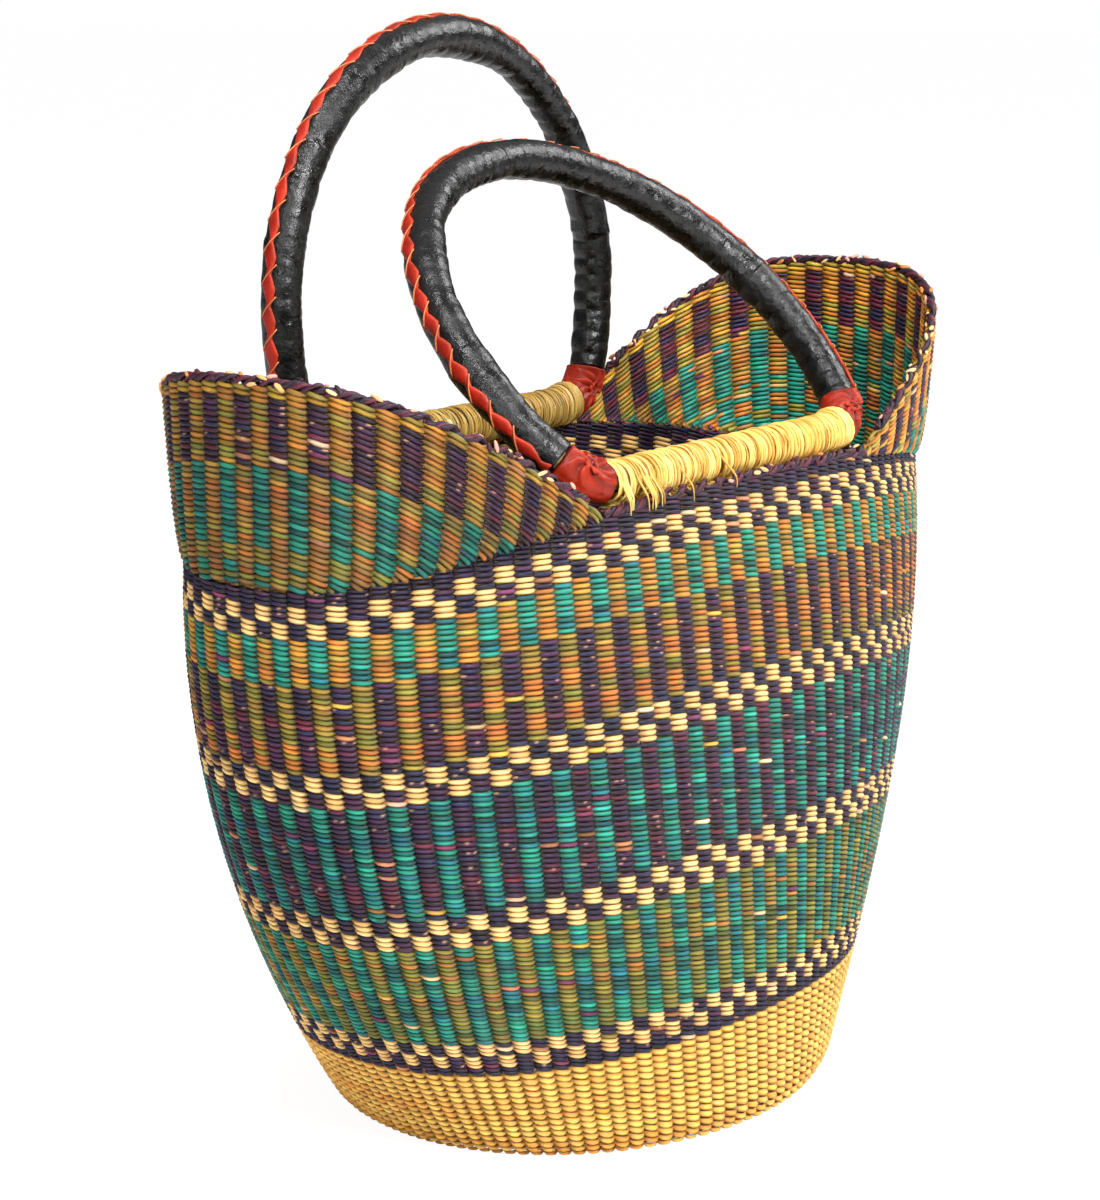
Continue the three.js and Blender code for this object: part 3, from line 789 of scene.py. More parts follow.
# How far a strand's twist, offset, thickness and tone wander, and over what length
TWIST_WANDER, OFFSET_WANDER = (0.35, 9 * MM), (0.3, 4 * MM)
THICKNESS_WANDER, TONE_WANDER = (0.22, 2.6 * MM), (0.18, 7 * MM)
# Cut straw ends on the cord: ranges of their spacing, place round it, length and thickness
FIRST_END, END_SPACING, LAST_END = (2 * MM, 8 * MM), (2.5 * MM, 8 * MM), 3 * MM
END_TURN, END_OFFSET = (-0.3 * np.pi, 1.2 * np.pi), (2 * MM, 2.7 * MM)
END_LENGTH, END_THICKNESS = (2.8 * MM, 5.5 * MM), (1.3 * MM, 2.2 * MM)
# A cut end's place along it and its width, both as shares
END_PROFILE = ((0, 0.55), (0.25, 0.95), (0.6, 1), (0.85, 0.75), (1, 0.3))
END_COLORS = ("F2C98A", "F6D79A", "E8B070", "D9A08A", "C8803C")
CORD_COLORS = ("2E1828", "40182A", "561C2C", "261626")
# Share of pale ends along a wing's edge and along the rim
WING_PALE_ENDS, RIM_PALE_ENDS = 0.72, 0.25


def add_strand(tubes, points, offset, thickness, turns, start, shade, rng):
    """One strand of a twisted cord that follows points."""
    forward = unit(np.gradient(points, axis=0))
    side = unit(np.cross(forward, UP))
    up = np.cross(side, forward)
    lengths = lengths_along(points)
    phase = start + 2 * np.pi * turns * lengths / lengths[-1] + wander(lengths, *TWIST_WANDER, rng)
    reach = offset * vary(lengths, *OFFSET_WANDER, rng)
    centre = points + reach[:, None] * (side * np.cos(phase)[:, None] + up * np.sin(phase)[:, None])
    tangent = unit(np.gradient(centre, axis=0))
    across = unit(np.cross(tangent, up))
    size = thickness / 2 * vary(lengths, *THICKNESS_WANDER, rng)
    rings = rings_round(centre, across, np.cross(across, tangent), size, size, 6)
    tubes.add_straw(rings, shade * vary(lengths, *TONE_WANDER, rng)[:, None], lengths, rng)


def resample(points, spacing):
    lengths = lengths_along(points)
    places = np.linspace(0, lengths[-1], max(4, round(lengths[-1] / spacing)) + 1)
    return np.stack([np.interp(places, lengths, points[:, axis]) for axis in range(3)], axis=-1)


def add_cut_end(tubes, place, direction, length, thickness, shade, rng):
    direction = unit(direction)
    side = unit(np.cross(direction, [0.3, 0.8, 0.52]))
    shares, sizes = np.array(END_PROFILE).T
    centre = place + np.outer(length * (shares - 0.5), direction)
    reach = thickness / 2 * sizes
    rings = rings_round(centre, side, np.cross(direction, side), reach, reach, 6)
    tubes.add_straw(rings, shade, np.linspace(0, length, len(rings)), rng)


def make_braid(name, points, number, pale_ends):
    rng = seeded(number)
    tubes = Tubes()
    fine = resample(points, CORD_STEP)
    length = lengths_along(fine)[-1]
    for strand, code in enumerate(CORD_COLORS):
        add_strand(tubes, fine, rng.uniform(*STRAND_OFFSET), rng.uniform(*STRAND_THICKNESS),
                   length / (CORD_LAY + LAY_STEP * strand), 2 * np.pi * strand / len(CORD_COLORS),
                   linear(code), rng)
    forward = unit(np.gradient(fine, axis=0))
    place = rng.uniform(*FIRST_END)
    while place < length - LAST_END:
        index = int(place / length * (len(fine) - 1))
        turn = rng.uniform(*END_TURN)
        out = np.cross(forward[index], UP) * math.cos(turn) + UP * math.sin(turn)
        around = np.cross(out, forward[index])
        direction = forward[index] + 0.9 * rng.normal() * around + 0.25 * rng.random() * out
        pale = rng.random() < pale_ends
        colors = END_COLORS if pale else CORD_COLORS[:-1]
        code = colors[rng.integers(len(colors))]
        add_cut_end(tubes, fine[index] + out * rng.uniform(*END_OFFSET), direction, rng.uniform(*END_LENGTH),
                    rng.uniform(*END_THICKNESS), linear(code), rng)
        place += rng.uniform(*END_SPACING)
    dress(tubes, f"{name}_cord", "basket", "dark_straw", name)


def make_braids():
    lift = BRAID_DIAMETER / 2 - CORD_SINK
    end = WING_HALF_ANGLE * WING_END_SHARE
    angles = np.linspace(-end, end, 401)
    for name, side, number in (("left_wing_braid", -1, 51), ("right_wing_braid", 1, 52)):
        make_braid(name, wing_points(side, angles, 1, lift), number, WING_PALE_ENDS)
    angles = np.linspace(-1, 1, 121) * (np.pi / 2 - WING_HALF_ANGLE)
    for name, side, number in (("front_rim_braid", -1, 53), ("back_rim_braid", 1, 54)):
        points = wall_points(1, side * np.pi / 2 + angles) + lift * UP
        make_braid(name, points, number, RIM_PALE_ENDS)


make_braids()


# The handles

# The winding runs on over the cuffs' straight part, to this far from its end, where the skins start
WINDING_INSET = 0.6 * MM
BAR_HALF = HOOP_FOOT_SPAN / 2 - HOOP_CORNER - CUFF_BAR_LENGTH / 2
CUFF_START = BAR_HALF + SEAM_GAP
CUFF_END = CUFF_START + CUFF_BAR_LENGTH + CUFF_LENGTH
SLEEVE_START = CUFF_END + SEAM_GAP
WOUND_HALF = CUFF_START + CUFF_BAR_LENGTH - WINDING_INSET
# Places this far to each side give the hoop's direction, and rings stand this far apart on it
HOOP_STEP, RING_STEP = 1.5 * MM, 0.8 * MM


def hoop_line(width, height):
    """Closed centre line of a hoop in the XZ plane from the middle of its bar, as dense points."""
    half = width / 2
    leg_radius = HOOP_WIDEST_HEIGHT / math.sqrt(1 - (HOOP_FOOT_SPAN / width) ** 2)
    start = math.asin((HOOP_CORNER - HOOP_WIDEST_HEIGHT) / leg_radius)
    first = np.array([HOOP_FOOT_SPAN / 2 - HOOP_CORNER, 0])
    corner = np.array([HOOP_FOOT_SPAN / 2, 0])
    last = np.array([half * math.cos(start), HOOP_WIDEST_HEIGHT + leg_radius * math.sin(start)])
    share = np.linspace(0, 1, 40)[:, None]
    bar = first * share[:-1]
    bend = first * (1 - share) ** 2 + 2 * corner * share * (1 - share) + last * share ** 2
    leg, crown = (
        np.stack([half * np.cos(turn), HOOP_WIDEST_HEIGHT + reach * np.sin(turn)], axis=1)
        for turn, reach in (
            (start * (1 - np.linspace(0, 1, 60)[1:]), leg_radius),
            (np.pi / 2 * np.linspace(0, 1, 160)[1:], height - HOOP_WIDEST_HEIGHT)))
    right = np.concatenate([bar, bend, leg, crown])
    path = np.concatenate([right, right[-2::-1] * [-1, 1]])
    return np.stack([path[:, 0], np.zeros(len(path)), path[:, 1]], axis=-1)


def handle_place(points, side):
    """Turns points of the upright handle to where the handle rests."""
    tilt = HANDLE_TILT[side]
    x, y, z = points[..., 0], points[..., 1], points[..., 2]
    turned_y = y * math.cos(tilt) + z * math.sin(tilt)
    turned_z = z * math.cos(tilt) - y * math.sin(tilt)
    return np.stack([x, turned_y + side * BAR_Y, turned_z + BAR_Z], axis=-1)


class Hoop:
    """A handle's hoop: its side of the basket, its centre line and its length."""

    def __init__(self, side):
        self.side = side
        self.line = hoop_line(HOOP_WIDTH[side], HOOP_HEIGHT[side])
        self.places = lengths_along(self.line)
        self.length = self.places[-1]

    def point(self, distance):
        distance = distance % self.length
        return np.stack([np.interp(distance, self.places, self.line[:, axis]) for axis in range(3)], axis=-1)

    def frame(self, distance):
        """Points on the hoop and the directions out of it in its plane."""
        tangent = unit(self.point(distance + HOOP_STEP) - self.point(distance - HOOP_STEP))
        outward = np.stack([tangent[..., 2], np.zeros_like(tangent[..., 1]), -tangent[..., 0]], axis=-1)
        return self.point(distance), outward

    def around(self, distance, radius, angle):
        """Places round the hoop where the handle rests, the angle from its outer to its back side."""
        point, outward = self.frame(distance)
        out, back = radius * np.cos(angle), radius * np.sin(angle)
        return handle_place(point + outward * out[..., None] + ACROSS * back[..., None], self.side)

    def tube(self, distances, radius):
        """Rings round the hoop; radius is (steps, sides)."""
        return self.around(distances[:, None], radius, ring_angles(radius.shape[1]))


# The leather sleeve: spacing and height of its lumps
LUMPS = ((34 * MM, 0.5 * MM), (12 * MM, 0.34 * MM), (5 * MM, 0.13 * MM))
# Knuckles: their spacing, how it wanders, their depth and how it wanders
KNUCKLE_PITCH, KNUCKLE_WANDER = 9.5 * MM, (0.5, 30 * MM)
KNUCKLE_DEPTH, DEPTH_WANDER = 0.75 * MM, (0.45 * MM, 17 * MM)
# Where round the sleeve the knuckles are, how wide they spread and how deep they are there
KNUCKLE_PLACES = ((np.pi, 1.15, 1), (-np.pi / 2, 0.9, 0.55), (np.pi / 2, 0.9, 0.4))
# Overlaps: ranges of their spacing, slant and height, width of their edge and of their slope
OVERLAP_SPACING, OVERLAP_SLANT = (30 * MM, 75 * MM), (-4 * MM, 4 * MM)
OVERLAP_HEIGHT, OVERLAP_EDGE, OVERLAP_SLOPE = (0.25 * MM, 0.6 * MM), 0.8 * MM, 11 * MM
SLEEVE_SINK = 0.1 * MM
SLEEVE_COLOR, SLEEVE_TONE = "060706", (0.3, 14 * MM)


def leather_sleeve(hoop, rng):
    """Wet leather sewn tight over the core: knuckles along the inner edge, dents and overlaps."""
    distances = np.arange(SLEEVE_START, hoop.length - SLEEVE_START, RING_STEP)
    turn = ring_angles(36)
    lumps = np.zeros((len(distances), len(turn)))
    for spacing, height in LUMPS:
        for order in range(4):
            wave = np.cos(order * turn + rng.uniform(0, 2 * np.pi))
            lumps += wave * wander(distances, height / (1 + 0.4 * order), spacing, rng)[:, None]
    phase = distances / KNUCKLE_PITCH + wander(distances, *KNUCKLE_WANDER, rng)
    depth = KNUCKLE_DEPTH + wander(distances, *DEPTH_WANDER, rng)
    for middle, spread, share in KNUCKLE_PLACES:
        inner = np.exp(-(np.abs(angle_apart(turn, middle)) / spread) ** 4)
        valley = 1 - np.abs(np.sin(np.pi * (phase + 0.12 * middle))) ** 0.55
        lumps -= (depth * valley * share)[:, None] * inner
    place = distances[0]
    while place < distances[-1]:
        place += rng.uniform(*OVERLAP_SPACING)
        past = distances[:, None] - place - rng.uniform(*OVERLAP_SLANT) * np.cos(turn + rng.uniform(0, 6))
        edge = np.clip(past / OVERLAP_EDGE, 0, 1) * np.exp(-np.maximum(past, 0) / OVERLAP_SLOPE)
        lumps += rng.uniform(*OVERLAP_HEIGHT) * edge
    shade = linear(SLEEVE_COLOR) * vary(distances, *SLEEVE_TONE, rng)[:, None]
    return Tubes().add(hoop.tube(distances, SLEEVE_DIAMETER / 2 - SLEEVE_SINK + lumps), shade, distances)


# The laced strip: a diamond's length, its least half widths and how much wider it gets
DIAMOND_LENGTH = 13 * MM
LEFT_HALF, LEFT_BULGE = 0.8 * MM, 2.5 * MM
RIGHT_HALF, RIGHT_BULGE = 0.9 * MM, 2.9 * MM
STRIP_END_GAP, STRIP_SINK, STRIP_LIP = 1 * MM, 0.2 * MM, 0.3 * MM
STRIP_HEIGHT, STRIP_ROUNDING = 1.15 * MM, 0.5 * MM
# How far the strip, its diamonds' spacing, its width and its tone wander, and over what length
STRIP_WANDER, DIAMOND_WANDER = (0.9 * MM, 50 * MM), (0.35, 45 * MM)
WIDTH_WANDER, STRIP_TONE = (0.18, 20 * MM), (0.2, 6 * MM)
STRIP_COLOR, STRIP_EDGE_COLOR = "A6200F", "B83C1C"
# How much earlier the right edge's diamonds come, as a share of their length
EDGE_SHIFT = 0.14
# How far each handle's strip has slipped to the front at the foot of its right leg
STRIP_TURN = {-1: 6.5 * MM, 1: 0}
# The thread over every pinch: its places across the strip, height, rise, diameter and colour
THREAD_LEFT, THREAD_RIGHT = -3.4 * MM, 3.7 * MM
THREAD_HEIGHT, THREAD_RISE, THREAD_DIAMETER = 0.9 * MM, 0.45 * MM, 0.65 * MM
THREAD_COLOR = "D07C4C"


def diamond(phase):
    """Rises from 0 to 1 and falls again over every whole phase."""
    return 1 - np.abs(2 * (phase % 1) - 1)


def lacing_strip(hoop, rng):
    """A strip pinched into diamonds, straighter along one edge, with a thread over every pinch."""
    start = SLEEVE_START + STRIP_END_GAP
    distances = np.arange(start, hoop.length - start, RING_STEP)
    phase = distances / DIAMOND_LENGTH + wander(distances, *DIAMOND_WANDER, rng)
    width = vary(distances, *WIDTH_WANDER, rng)
    left = (LEFT_HALF + LEFT_BULGE * diamond(phase) ** 0.8) * width
    right = (RIGHT_HALF + RIGHT_BULGE * diamond(phase + EDGE_SHIFT)) * width
    base = SLEEVE_DIAMETER / 2 - STRIP_SINK
    drift = wander(distances, *STRIP_WANDER, rng)
    drift = drift - STRIP_TURN[hoop.side] * np.clip(3 - 6 * distances / hoop.length, 0, 1)
    profile = np.linspace(-1, 1, 7)[:, None]
    angle = (np.where(profile < 0, profile * left, profile * right) + drift) / base
    top = base + STRIP_HEIGHT - STRIP_ROUNDING * profile ** 2
    radius = np.concatenate([top, np.full_like(top, base - STRIP_LIP)])
    rings = hoop.around(distances, radius, np.concatenate([angle, angle[::-1]])).swapaxes(0, 1)
    edge = np.abs(np.concatenate([profile, profile[::-1]])) ** 4
    tone = vary(distances, *STRIP_TONE, rng)[:, None, None]
    tubes = Tubes().add(rings, lerp(linear(STRIP_COLOR), linear(STRIP_EDGE_COLOR), edge) * tone, distances)
    share = np.linspace(0, 1, 9)
    for number in range(math.ceil(phase[0]), int(phase[-1])):
        place = lerp(*np.interp((number - 0.3, number + 0.36), phase, distances), share)
        reach = lerp(THREAD_LEFT, THREAD_RIGHT, share) + np.interp(place, distances, drift)
        radius = base + THREAD_HEIGHT + THREAD_RISE * np.sin(np.pi * share)
        line = hoop.around(place, radius, reach / base)
        add_thread(tubes, line, THREAD_DIAMETER, linear(THREAD_COLOR), rng)
    return tubes


def add_thread(tubes, points, diameter, shade, rng):
    """A round straw or thread along points."""
    forward = unit(np.gradient(points, axis=0))
    guide = [0.1, 0.97, 0.2] if abs(forward[:, 2]).mean() > 0.85 else [0.23, 0.31, 0.92]
    side = unit(np.cross(forward, guide))
    reach = diameter / 2
    rings = rings_round(points, side, np.cross(side, forward), reach, reach, 6)
    tubes.add_straw(rings, shade, lengths_along(points), rng)


# The cuffs: creases that run to the knot, their height and reach, and the pit in their middle
CUFF_FOLDS = 9
FOLD_HEIGHT, FOLD_REACH, FOLD_START = 2.9 * MM, 14 * MM, 2.5 * MM
FOLD_SWIRL, SWIRL_LENGTH = 0.25, 3.2 * MM
PIT_DEPTH, PIT_RADIUS = 1.6 * MM, 4 * MM
# A fold's place, width and strength, and how wide its gentle and its steep side are
FOLD_PLACE, FOLD_WIDTH, FOLD_STRENGTH = (-0.28, 0.28), (0.12, 0.24), (0.65, 1)
GENTLE_SIDE, STEEP_SIDE = 2.6, 0.5
CUFF_INSET, CUFF_LUMPS = 1.25 * MM, (0.22 * MM, 5 * MM)
# The overlap that winds round a cuff: its height, its turn over the cuff, its start and its edge
WRAP_HEIGHT, WRAP_TURN, WRAP_START, WRAP_EDGE = 0.5 * MM, 5.2, 2, 0.12
# The cuff's ends roll in and are darker near them
ROLL_DEPTH, ROLL_LENGTH, END_DARKENING_LENGTH = 1.5 * MM, 0.7 * MM, 2 * MM
# Painted shade in the creases near the knot, and the cuff's own colour
CREASE_PAINTED_SHADE, CUFF_COLOR = "300603", "AC280A"


def cuff(hoop, start, end, knot_distance, rng):
    """Wet-shrunk red leather with creases that run to the knot on its front face."""
    distances = np.linspace(start, end, 80)
    turn = ring_angles(72)
    along = distances[:, None] - knot_distance
    around = angle_apart(turn, -np.pi / 2) * CUFF_DIAMETER / 2
    away = np.hypot(along, around)
    bearing = np.arctan2(along, around) + FOLD_SWIRL * np.sin(away / SWIRL_LENGTH)
    folds = np.zeros_like(away)
    first = rng.uniform(0, 2 * np.pi)
    for number in range(CUFF_FOLDS):
        direction = first + 2 * np.pi * (number + rng.uniform(*FOLD_PLACE)) / CUFF_FOLDS
        apart = angle_apart(bearing, direction)
        width = rng.uniform(*FOLD_WIDTH) * np.where(apart > 0, GENTLE_SIDE, STEEP_SIDE)
        folds = np.maximum(folds, rng.uniform(*FOLD_STRENGTH) * np.exp(-(apart / width) ** 2))
    fade = np.exp(-(away / FOLD_REACH) ** 2) * np.clip(away / FOLD_START, 0.2, 1)
    radius = CUFF_DIAMETER / 2 - CUFF_INSET + FOLD_HEIGHT * (folds - 0.6) * fade
    radius -= PIT_DEPTH * np.exp(-(away / PIT_RADIUS) ** 2)
    for order in range(1, 5):
        wave = np.cos(order * turn + rng.uniform(0, 6))
        radius += wave * wander(distances, *CUFF_LUMPS, rng)[:, None]
    wound = (distances[:, None] - start) / (end - start) * WRAP_TURN - turn + WRAP_START
    radius += WRAP_HEIGHT * np.clip(wound / WRAP_EDGE, 0, 1)
    ends = np.minimum(distances - start, end - distances)[:, None]
    radius -= ROLL_DEPTH * np.clip(1 - ends / ROLL_LENGTH, 0, 1) ** 2
    # Darker near the cuff's ends
    worn = 0.3 * np.exp(-(ends / END_DARKENING_LENGTH) ** 2)
    # Painted shade darkens the creases between the folds near the knot; fold crests and the leather away
    # from the knot keep the cuff's own colour
    glow = np.clip(0.05 + 1.05 * folds * fade + 0.85 * (1 - fade) - worn, 0, 1)[..., None]
    shade = lerp(linear(CREASE_PAINTED_SHADE), linear(CUFF_COLOR), glow)
    return Tubes().add(hoop.tube(distances, radius), shade, distances)


# The knot's rings from its rim inwards: height over its foot, half width and colour, which darkens inwards
# as painted shade in the slit
KNOT_RINGS = (
    (-1.4 * MM, 4.4 * MM, "862008"), (-0.7 * MM, 4 * MM, "9A260A"), (-0.3 * MM, 3.4 * MM, "A82C0C"),
    (-0.2 * MM, 2.8 * MM, "962409"), (-0.5 * MM, 2.2 * MM, "6A1807"), (-1.2 * MM, 1.7 * MM, "320A04"),
    (-2.2 * MM, 1.2 * MM, "180303"), (-2.8 * MM, 0.4 * MM, "100202"),
)
KNOT_SINK, KNOT_LENGTH = 1.3 * MM, 2 * MM


def knot(hoop, distance, rng):
    """The twisted end of the cuff, tucked into a dark slit."""
    point, outward = hoop.frame(distance)
    tangent = np.cross(outward, ACROSS)
    spin = rng.uniform(0, 2 * np.pi)
    long_way = np.cos(spin) * tangent + np.sin(spin) * outward
    short_way = np.cos(spin) * outward - np.sin(spin) * tangent
    heights, sizes = np.array([ring[:2] for ring in KNOT_RINGS]).T
    turn = ring_angles(32)
    number = np.arange(len(sizes))[:, None]
    pleats = 1 + 0.16 * np.cos(4 * turn + 0.5 * number) + 0.12 * np.cos(7 * turn - 0.4 * number)
    reach = sizes[:, None] * pleats
    centre = point - np.outer(CUFF_DIAMETER / 2 - KNOT_SINK + heights, ACROSS)
    rings = rings_round(centre, long_way, short_way, 1.15 * reach, 0.7 * reach, len(turn))
    # Painted shade darkens the inner rings
    shade = np.array([linear(code) for _, _, code in KNOT_RINGS])
    return Tubes().add(handle_place(rings, hoop.side), shade, np.linspace(0, KNOT_LENGTH, len(rings)))


# The winding's turns, and the steps and the straws in each
BAR_TURNS, STEPS_PER_TURN, STRAWS_PER_TURN = 100, 14, 1.7
# How turns wander along the bar and in slant, thickness, width and tone, and over how many turns
TURN_WANDER, TURN_SLANT, SLANT_WANDER = (0.5 * MM, 1.3), 0.9 * MM, (1, 3.5)
SWELLING_WANDER, WINDING_WIDENING, WINDING_TONE = (0.25 * MM, 1.1), (0.3, 0.9), (0.16, 0.8)
# Its radius under the lashing and beside the cuffs, how far it swells there, and its straw's size
THIN_RADIUS = CORE_DIAMETER / 2 + SEAM_GAP + 0.4 * MM
FULL_RADIUS = CORE_DIAMETER / 2 + SEAM_GAP + WALL_STRAW_DIAMETER - 0.75 * MM
RIGHT_SWELLING, LEFT_SWELLING = 13 * MM, 6 * MM
WINDING_THICKNESS, WINDING_WIDTH = 0.5 * MM, 0.95 * MM
BAR_COLORS = ("E8C26A", "DEB054", "F0CE78", "D2A24A", "C4923C", "E4BA60")
# Painted light brightens the front bar's straw and painted shade darkens the back bar's
BAR_PAINTED_SHADING = {-1: 1.22, 1: 0.7}


def bar_winding(hoop, rng):
    """Fine straw wound side by side round the bar from cuff to cuff."""
    count = BAR_TURNS * STEPS_PER_TURN
    turns = BAR_TURNS * np.arange(count + 1) / count
    phase = 2 * np.pi * turns
    x = lerp(-WOUND_HALF, WOUND_HALF, turns / BAR_TURNS) + wander(turns, *TURN_WANDER, rng)
    x = x + TURN_SLANT * vary(turns, *SLANT_WANDER, rng) * np.cos(phase + 0.8)
    swelling = (np.exp(-((x - WOUND_HALF) / RIGHT_SWELLING) ** 4)
                + 0.85 * np.exp(-((x + WOUND_HALF) / LEFT_SWELLING) ** 4))
    radius = lerp(THIN_RADIUS, FULL_RADIUS, swelling) + wander(turns, *SWELLING_WANDER, rng) * swelling
    radius = np.minimum(radius, FULL_RADIUS)
    radial = np.stack([np.zeros(count + 1), np.cos(phase), np.sin(phase)], axis=-1)
    points = radial * radius[:, None]
    points[:, 0] = np.clip(x, -WOUND_HALF, WOUND_HALF)
    sideways = unit(np.cross(unit(np.gradient(points, axis=0)), radial))
    width = WINDING_WIDTH * vary(turns, *WINDING_WIDENING, rng)
    rings = rings_round(points, radial, sideways, WINDING_THICKNESS, width, 7)
    picks = rng.integers(len(BAR_COLORS), size=2 * BAR_TURNS + 2)
    # The bar's straw gets its painted light or shade
    codes = BAR_PAINTED_SHADING[hoop.side] * np.array([linear(code) for code in BAR_COLORS])
    shade = codes[picks[(turns * STRAWS_PER_TURN).astype(int)]] * vary(turns, *WINDING_TONE, rng)[:, None]
    return Tubes().add_straw(handle_place(rings, hoop.side), shade, lengths_along(points), rng)


# The bundle's rings, and the ridges of the grass in it
BUNDLE_STEP, BUNDLE_GAP, BUNDLE_SINK = 2.5 * MM, 1 * MM, 0.3 * MM
GRASS_BLADES, GRASS_RIDGE, GRASS_TWIST = 9, 0.25 * MM, 30 * MM
GRASS_COLOR = "A88A50"


def hoop_core(hoop):
    """The bundle of grass that the hoop is made of."""
    distances = np.arange(0, hoop.length - BUNDLE_GAP, BUNDLE_STEP)
    turn = ring_angles(20)
    ridges = GRASS_RIDGE * np.cos(GRASS_BLADES * turn + distances[:, None] / GRASS_TWIST)
    rings = hoop.tube(distances, CORE_DIAMETER / 2 - BUNDLE_SINK + ridges)
    shade = linear(GRASS_COLOR) * (1 + 0.15 * np.cos(GRASS_BLADES * turn))[:, None]
    return Tubes().add(rings, np.broadcast_to(shade, rings.shape), distances, True)


def make_handle(prefix, side, number):
    rng = seeded(number)
    hoop = Hoop(side)
    pieces = [
        (hoop_core(hoop), "core_bundle", "core_grass", "hoop_core"),
        (bar_winding(hoop, rng), "wound_straw", "natural_straw", "bar_winding"),
        (leather_sleeve(hoop, rng), "sleeve_skin", "black_leather", "leather_sleeve"),
        (lacing_strip(hoop, rng), "laced_strip", "red_leather", "lacing_strip"),
    ]
    middle = (WOUND_HALF + CUFF_END) / 2
    for end, start, stop, knot_place in (
        ("right", WOUND_HALF, CUFF_END, middle),
        ("left", hoop.length - CUFF_END, hoop.length - WOUND_HALF, hoop.length - middle),
    ):
        pieces += [
            (cuff(hoop, start, stop, knot_place, rng), f"{end}_cuff_skin", "red_leather", f"{end}_cuff"),
            (knot(hoop, knot_place, rng), f"{end}_knot_skin", "red_leather", f"{end}_cuff_knot"),
        ]
    for tubes, name, slot, node in pieces:
        dress(tubes, f"{prefix}_{name}", f"{prefix}_handle", slot, f"{prefix}_{node}")


make_handle("front", -1, 61)
make_handle("back", 1, 62)


# The straw ties that hold the bars on the rim

# Where each tie's straws start and end, as shares of the wound length
TIE_ENDS = (0.012, 0.25, 0.5, 0.75, 0.97)
TIE_START, LASHING_PITCH = 1 * MM, 0.95 * MM
LASHING_SAG, LASHING_REACH = 1.7 * MM, 3.1 * MM
# Loose ends hang over the rim near the left end of a bar, and seldom further on
LOOSE_LENGTH = 34 * MM
# The cuffs turn with the handle, so every straw stays this far from their ends
CUFF_CLEARANCE = 2.3 * MM
# Ranges of a straw's place, swelling, diameter and tone, and of a loose and a tucked end's drop
PLACE_RANGE, SWELL_RANGE = (-0.4 * MM, 0.4 * MM), (-0.25 * MM, 0.35 * MM)
DIAMETER_RANGE, TONE_RANGE = (0.75 * MM, 1.2 * MM), (0.68, 1.2)
LOOSE_DROP, TUCKED_DROP = (0, 0.26), (0.15, 0.3)
# How far a straw leans and sways along the bar, how it and its swelling wander, and its taper
LEAN, LOOSE_SWAY, TUCKED_SWAY = 0.4 * MM, 3 * MM, 1.5 * MM
STRAW_WANDER, SWELL_WANDER = (0.6 * MM, 9 * MM), (0.3 * MM, 8 * MM)
TAPER_LENGTH, TAPERED = 7 * MM, 0.4
# How far a straw passes from the wall and the rim's cord, how its ends are shifted, and its tuck
WALL_PASS, CORD_PASS, END_SHIFT, FOOT_SHIFT, TUCK = 0.7 * MM, 0.9 * MM, 0.6 * MM, 0.4 * MM, 2 * MM
# Angles round the bar at which straws start and end, and those of a loose straw over the cord
TUCKED_ANGLE, LOOSE_ANGLE, LAST_ANGLE = -58, 15, 262
CORD_ANGLES = (5, 50)


def wall_reach(level, x):
    half_length, half_width, power = ring_shape(level)
    return half_width * (1 - (abs(x) / half_length) ** power) ** (1 / power)


def arc(middle_y, middle_z, reach, degrees):
    return [(middle_y + reach * math.cos(angle), middle_z + reach * math.sin(angle))
            for angle in np.radians(degrees)]


def tie_route(side, x, drop, loose):
    """Round the bar and into the wall from inside. A loose straw starts outside, over the rim's cord."""
    outside = WALL_THICKNESS / 2 + WALL_PASS
    rim_y, foot_y = wall_reach(1, x), wall_reach((RIM_TOP - drop) / RIM_TOP, x)
    route = [(rim_y - outside + END_SHIFT, RIM_TOP - drop)]
    if loose:
        route = [(foot_y + outside + FOOT_SHIFT, RIM_TOP - drop)]
        route += arc(rim_y, RIM_TOP + BRAID_DIAMETER / 2, BRAID_DIAMETER / 2 + CORD_PASS, CORD_ANGLES)
    degrees = np.linspace(LOOSE_ANGLE if loose else TUCKED_ANGLE, LAST_ANGLE, 14)
    route += arc(BAR_Y, BAR_Z - LASHING_SAG, CORE_DIAMETER / 2 + SEAM_GAP + LASHING_REACH, degrees)
    route += [(rim_y - outside - TUCK, RIM_TOP), (foot_y - outside, RIM_TOP - drop - TUCK)]
    return np.array([(x, side * y, z) for y, z in route])


def smooth_route(points, count):
    """Catmull-Rom curve through points."""
    ends = np.concatenate([[2 * points[0] - points[1]], points, [2 * points[-1] - points[-2]]])
    places = np.linspace(0, len(points) - 1, count)
    index = np.minimum(places.astype(int), len(points) - 2)
    t = (places - index)[:, None]
    a, b, c, d = (ends[index + i] for i in range(4))
    square, cube = 2 * a - 5 * b + 4 * c - d, 3 * b - a - 3 * c + d
    return b + ((c - a) * t + square * t ** 2 + cube * t ** 3) / 2


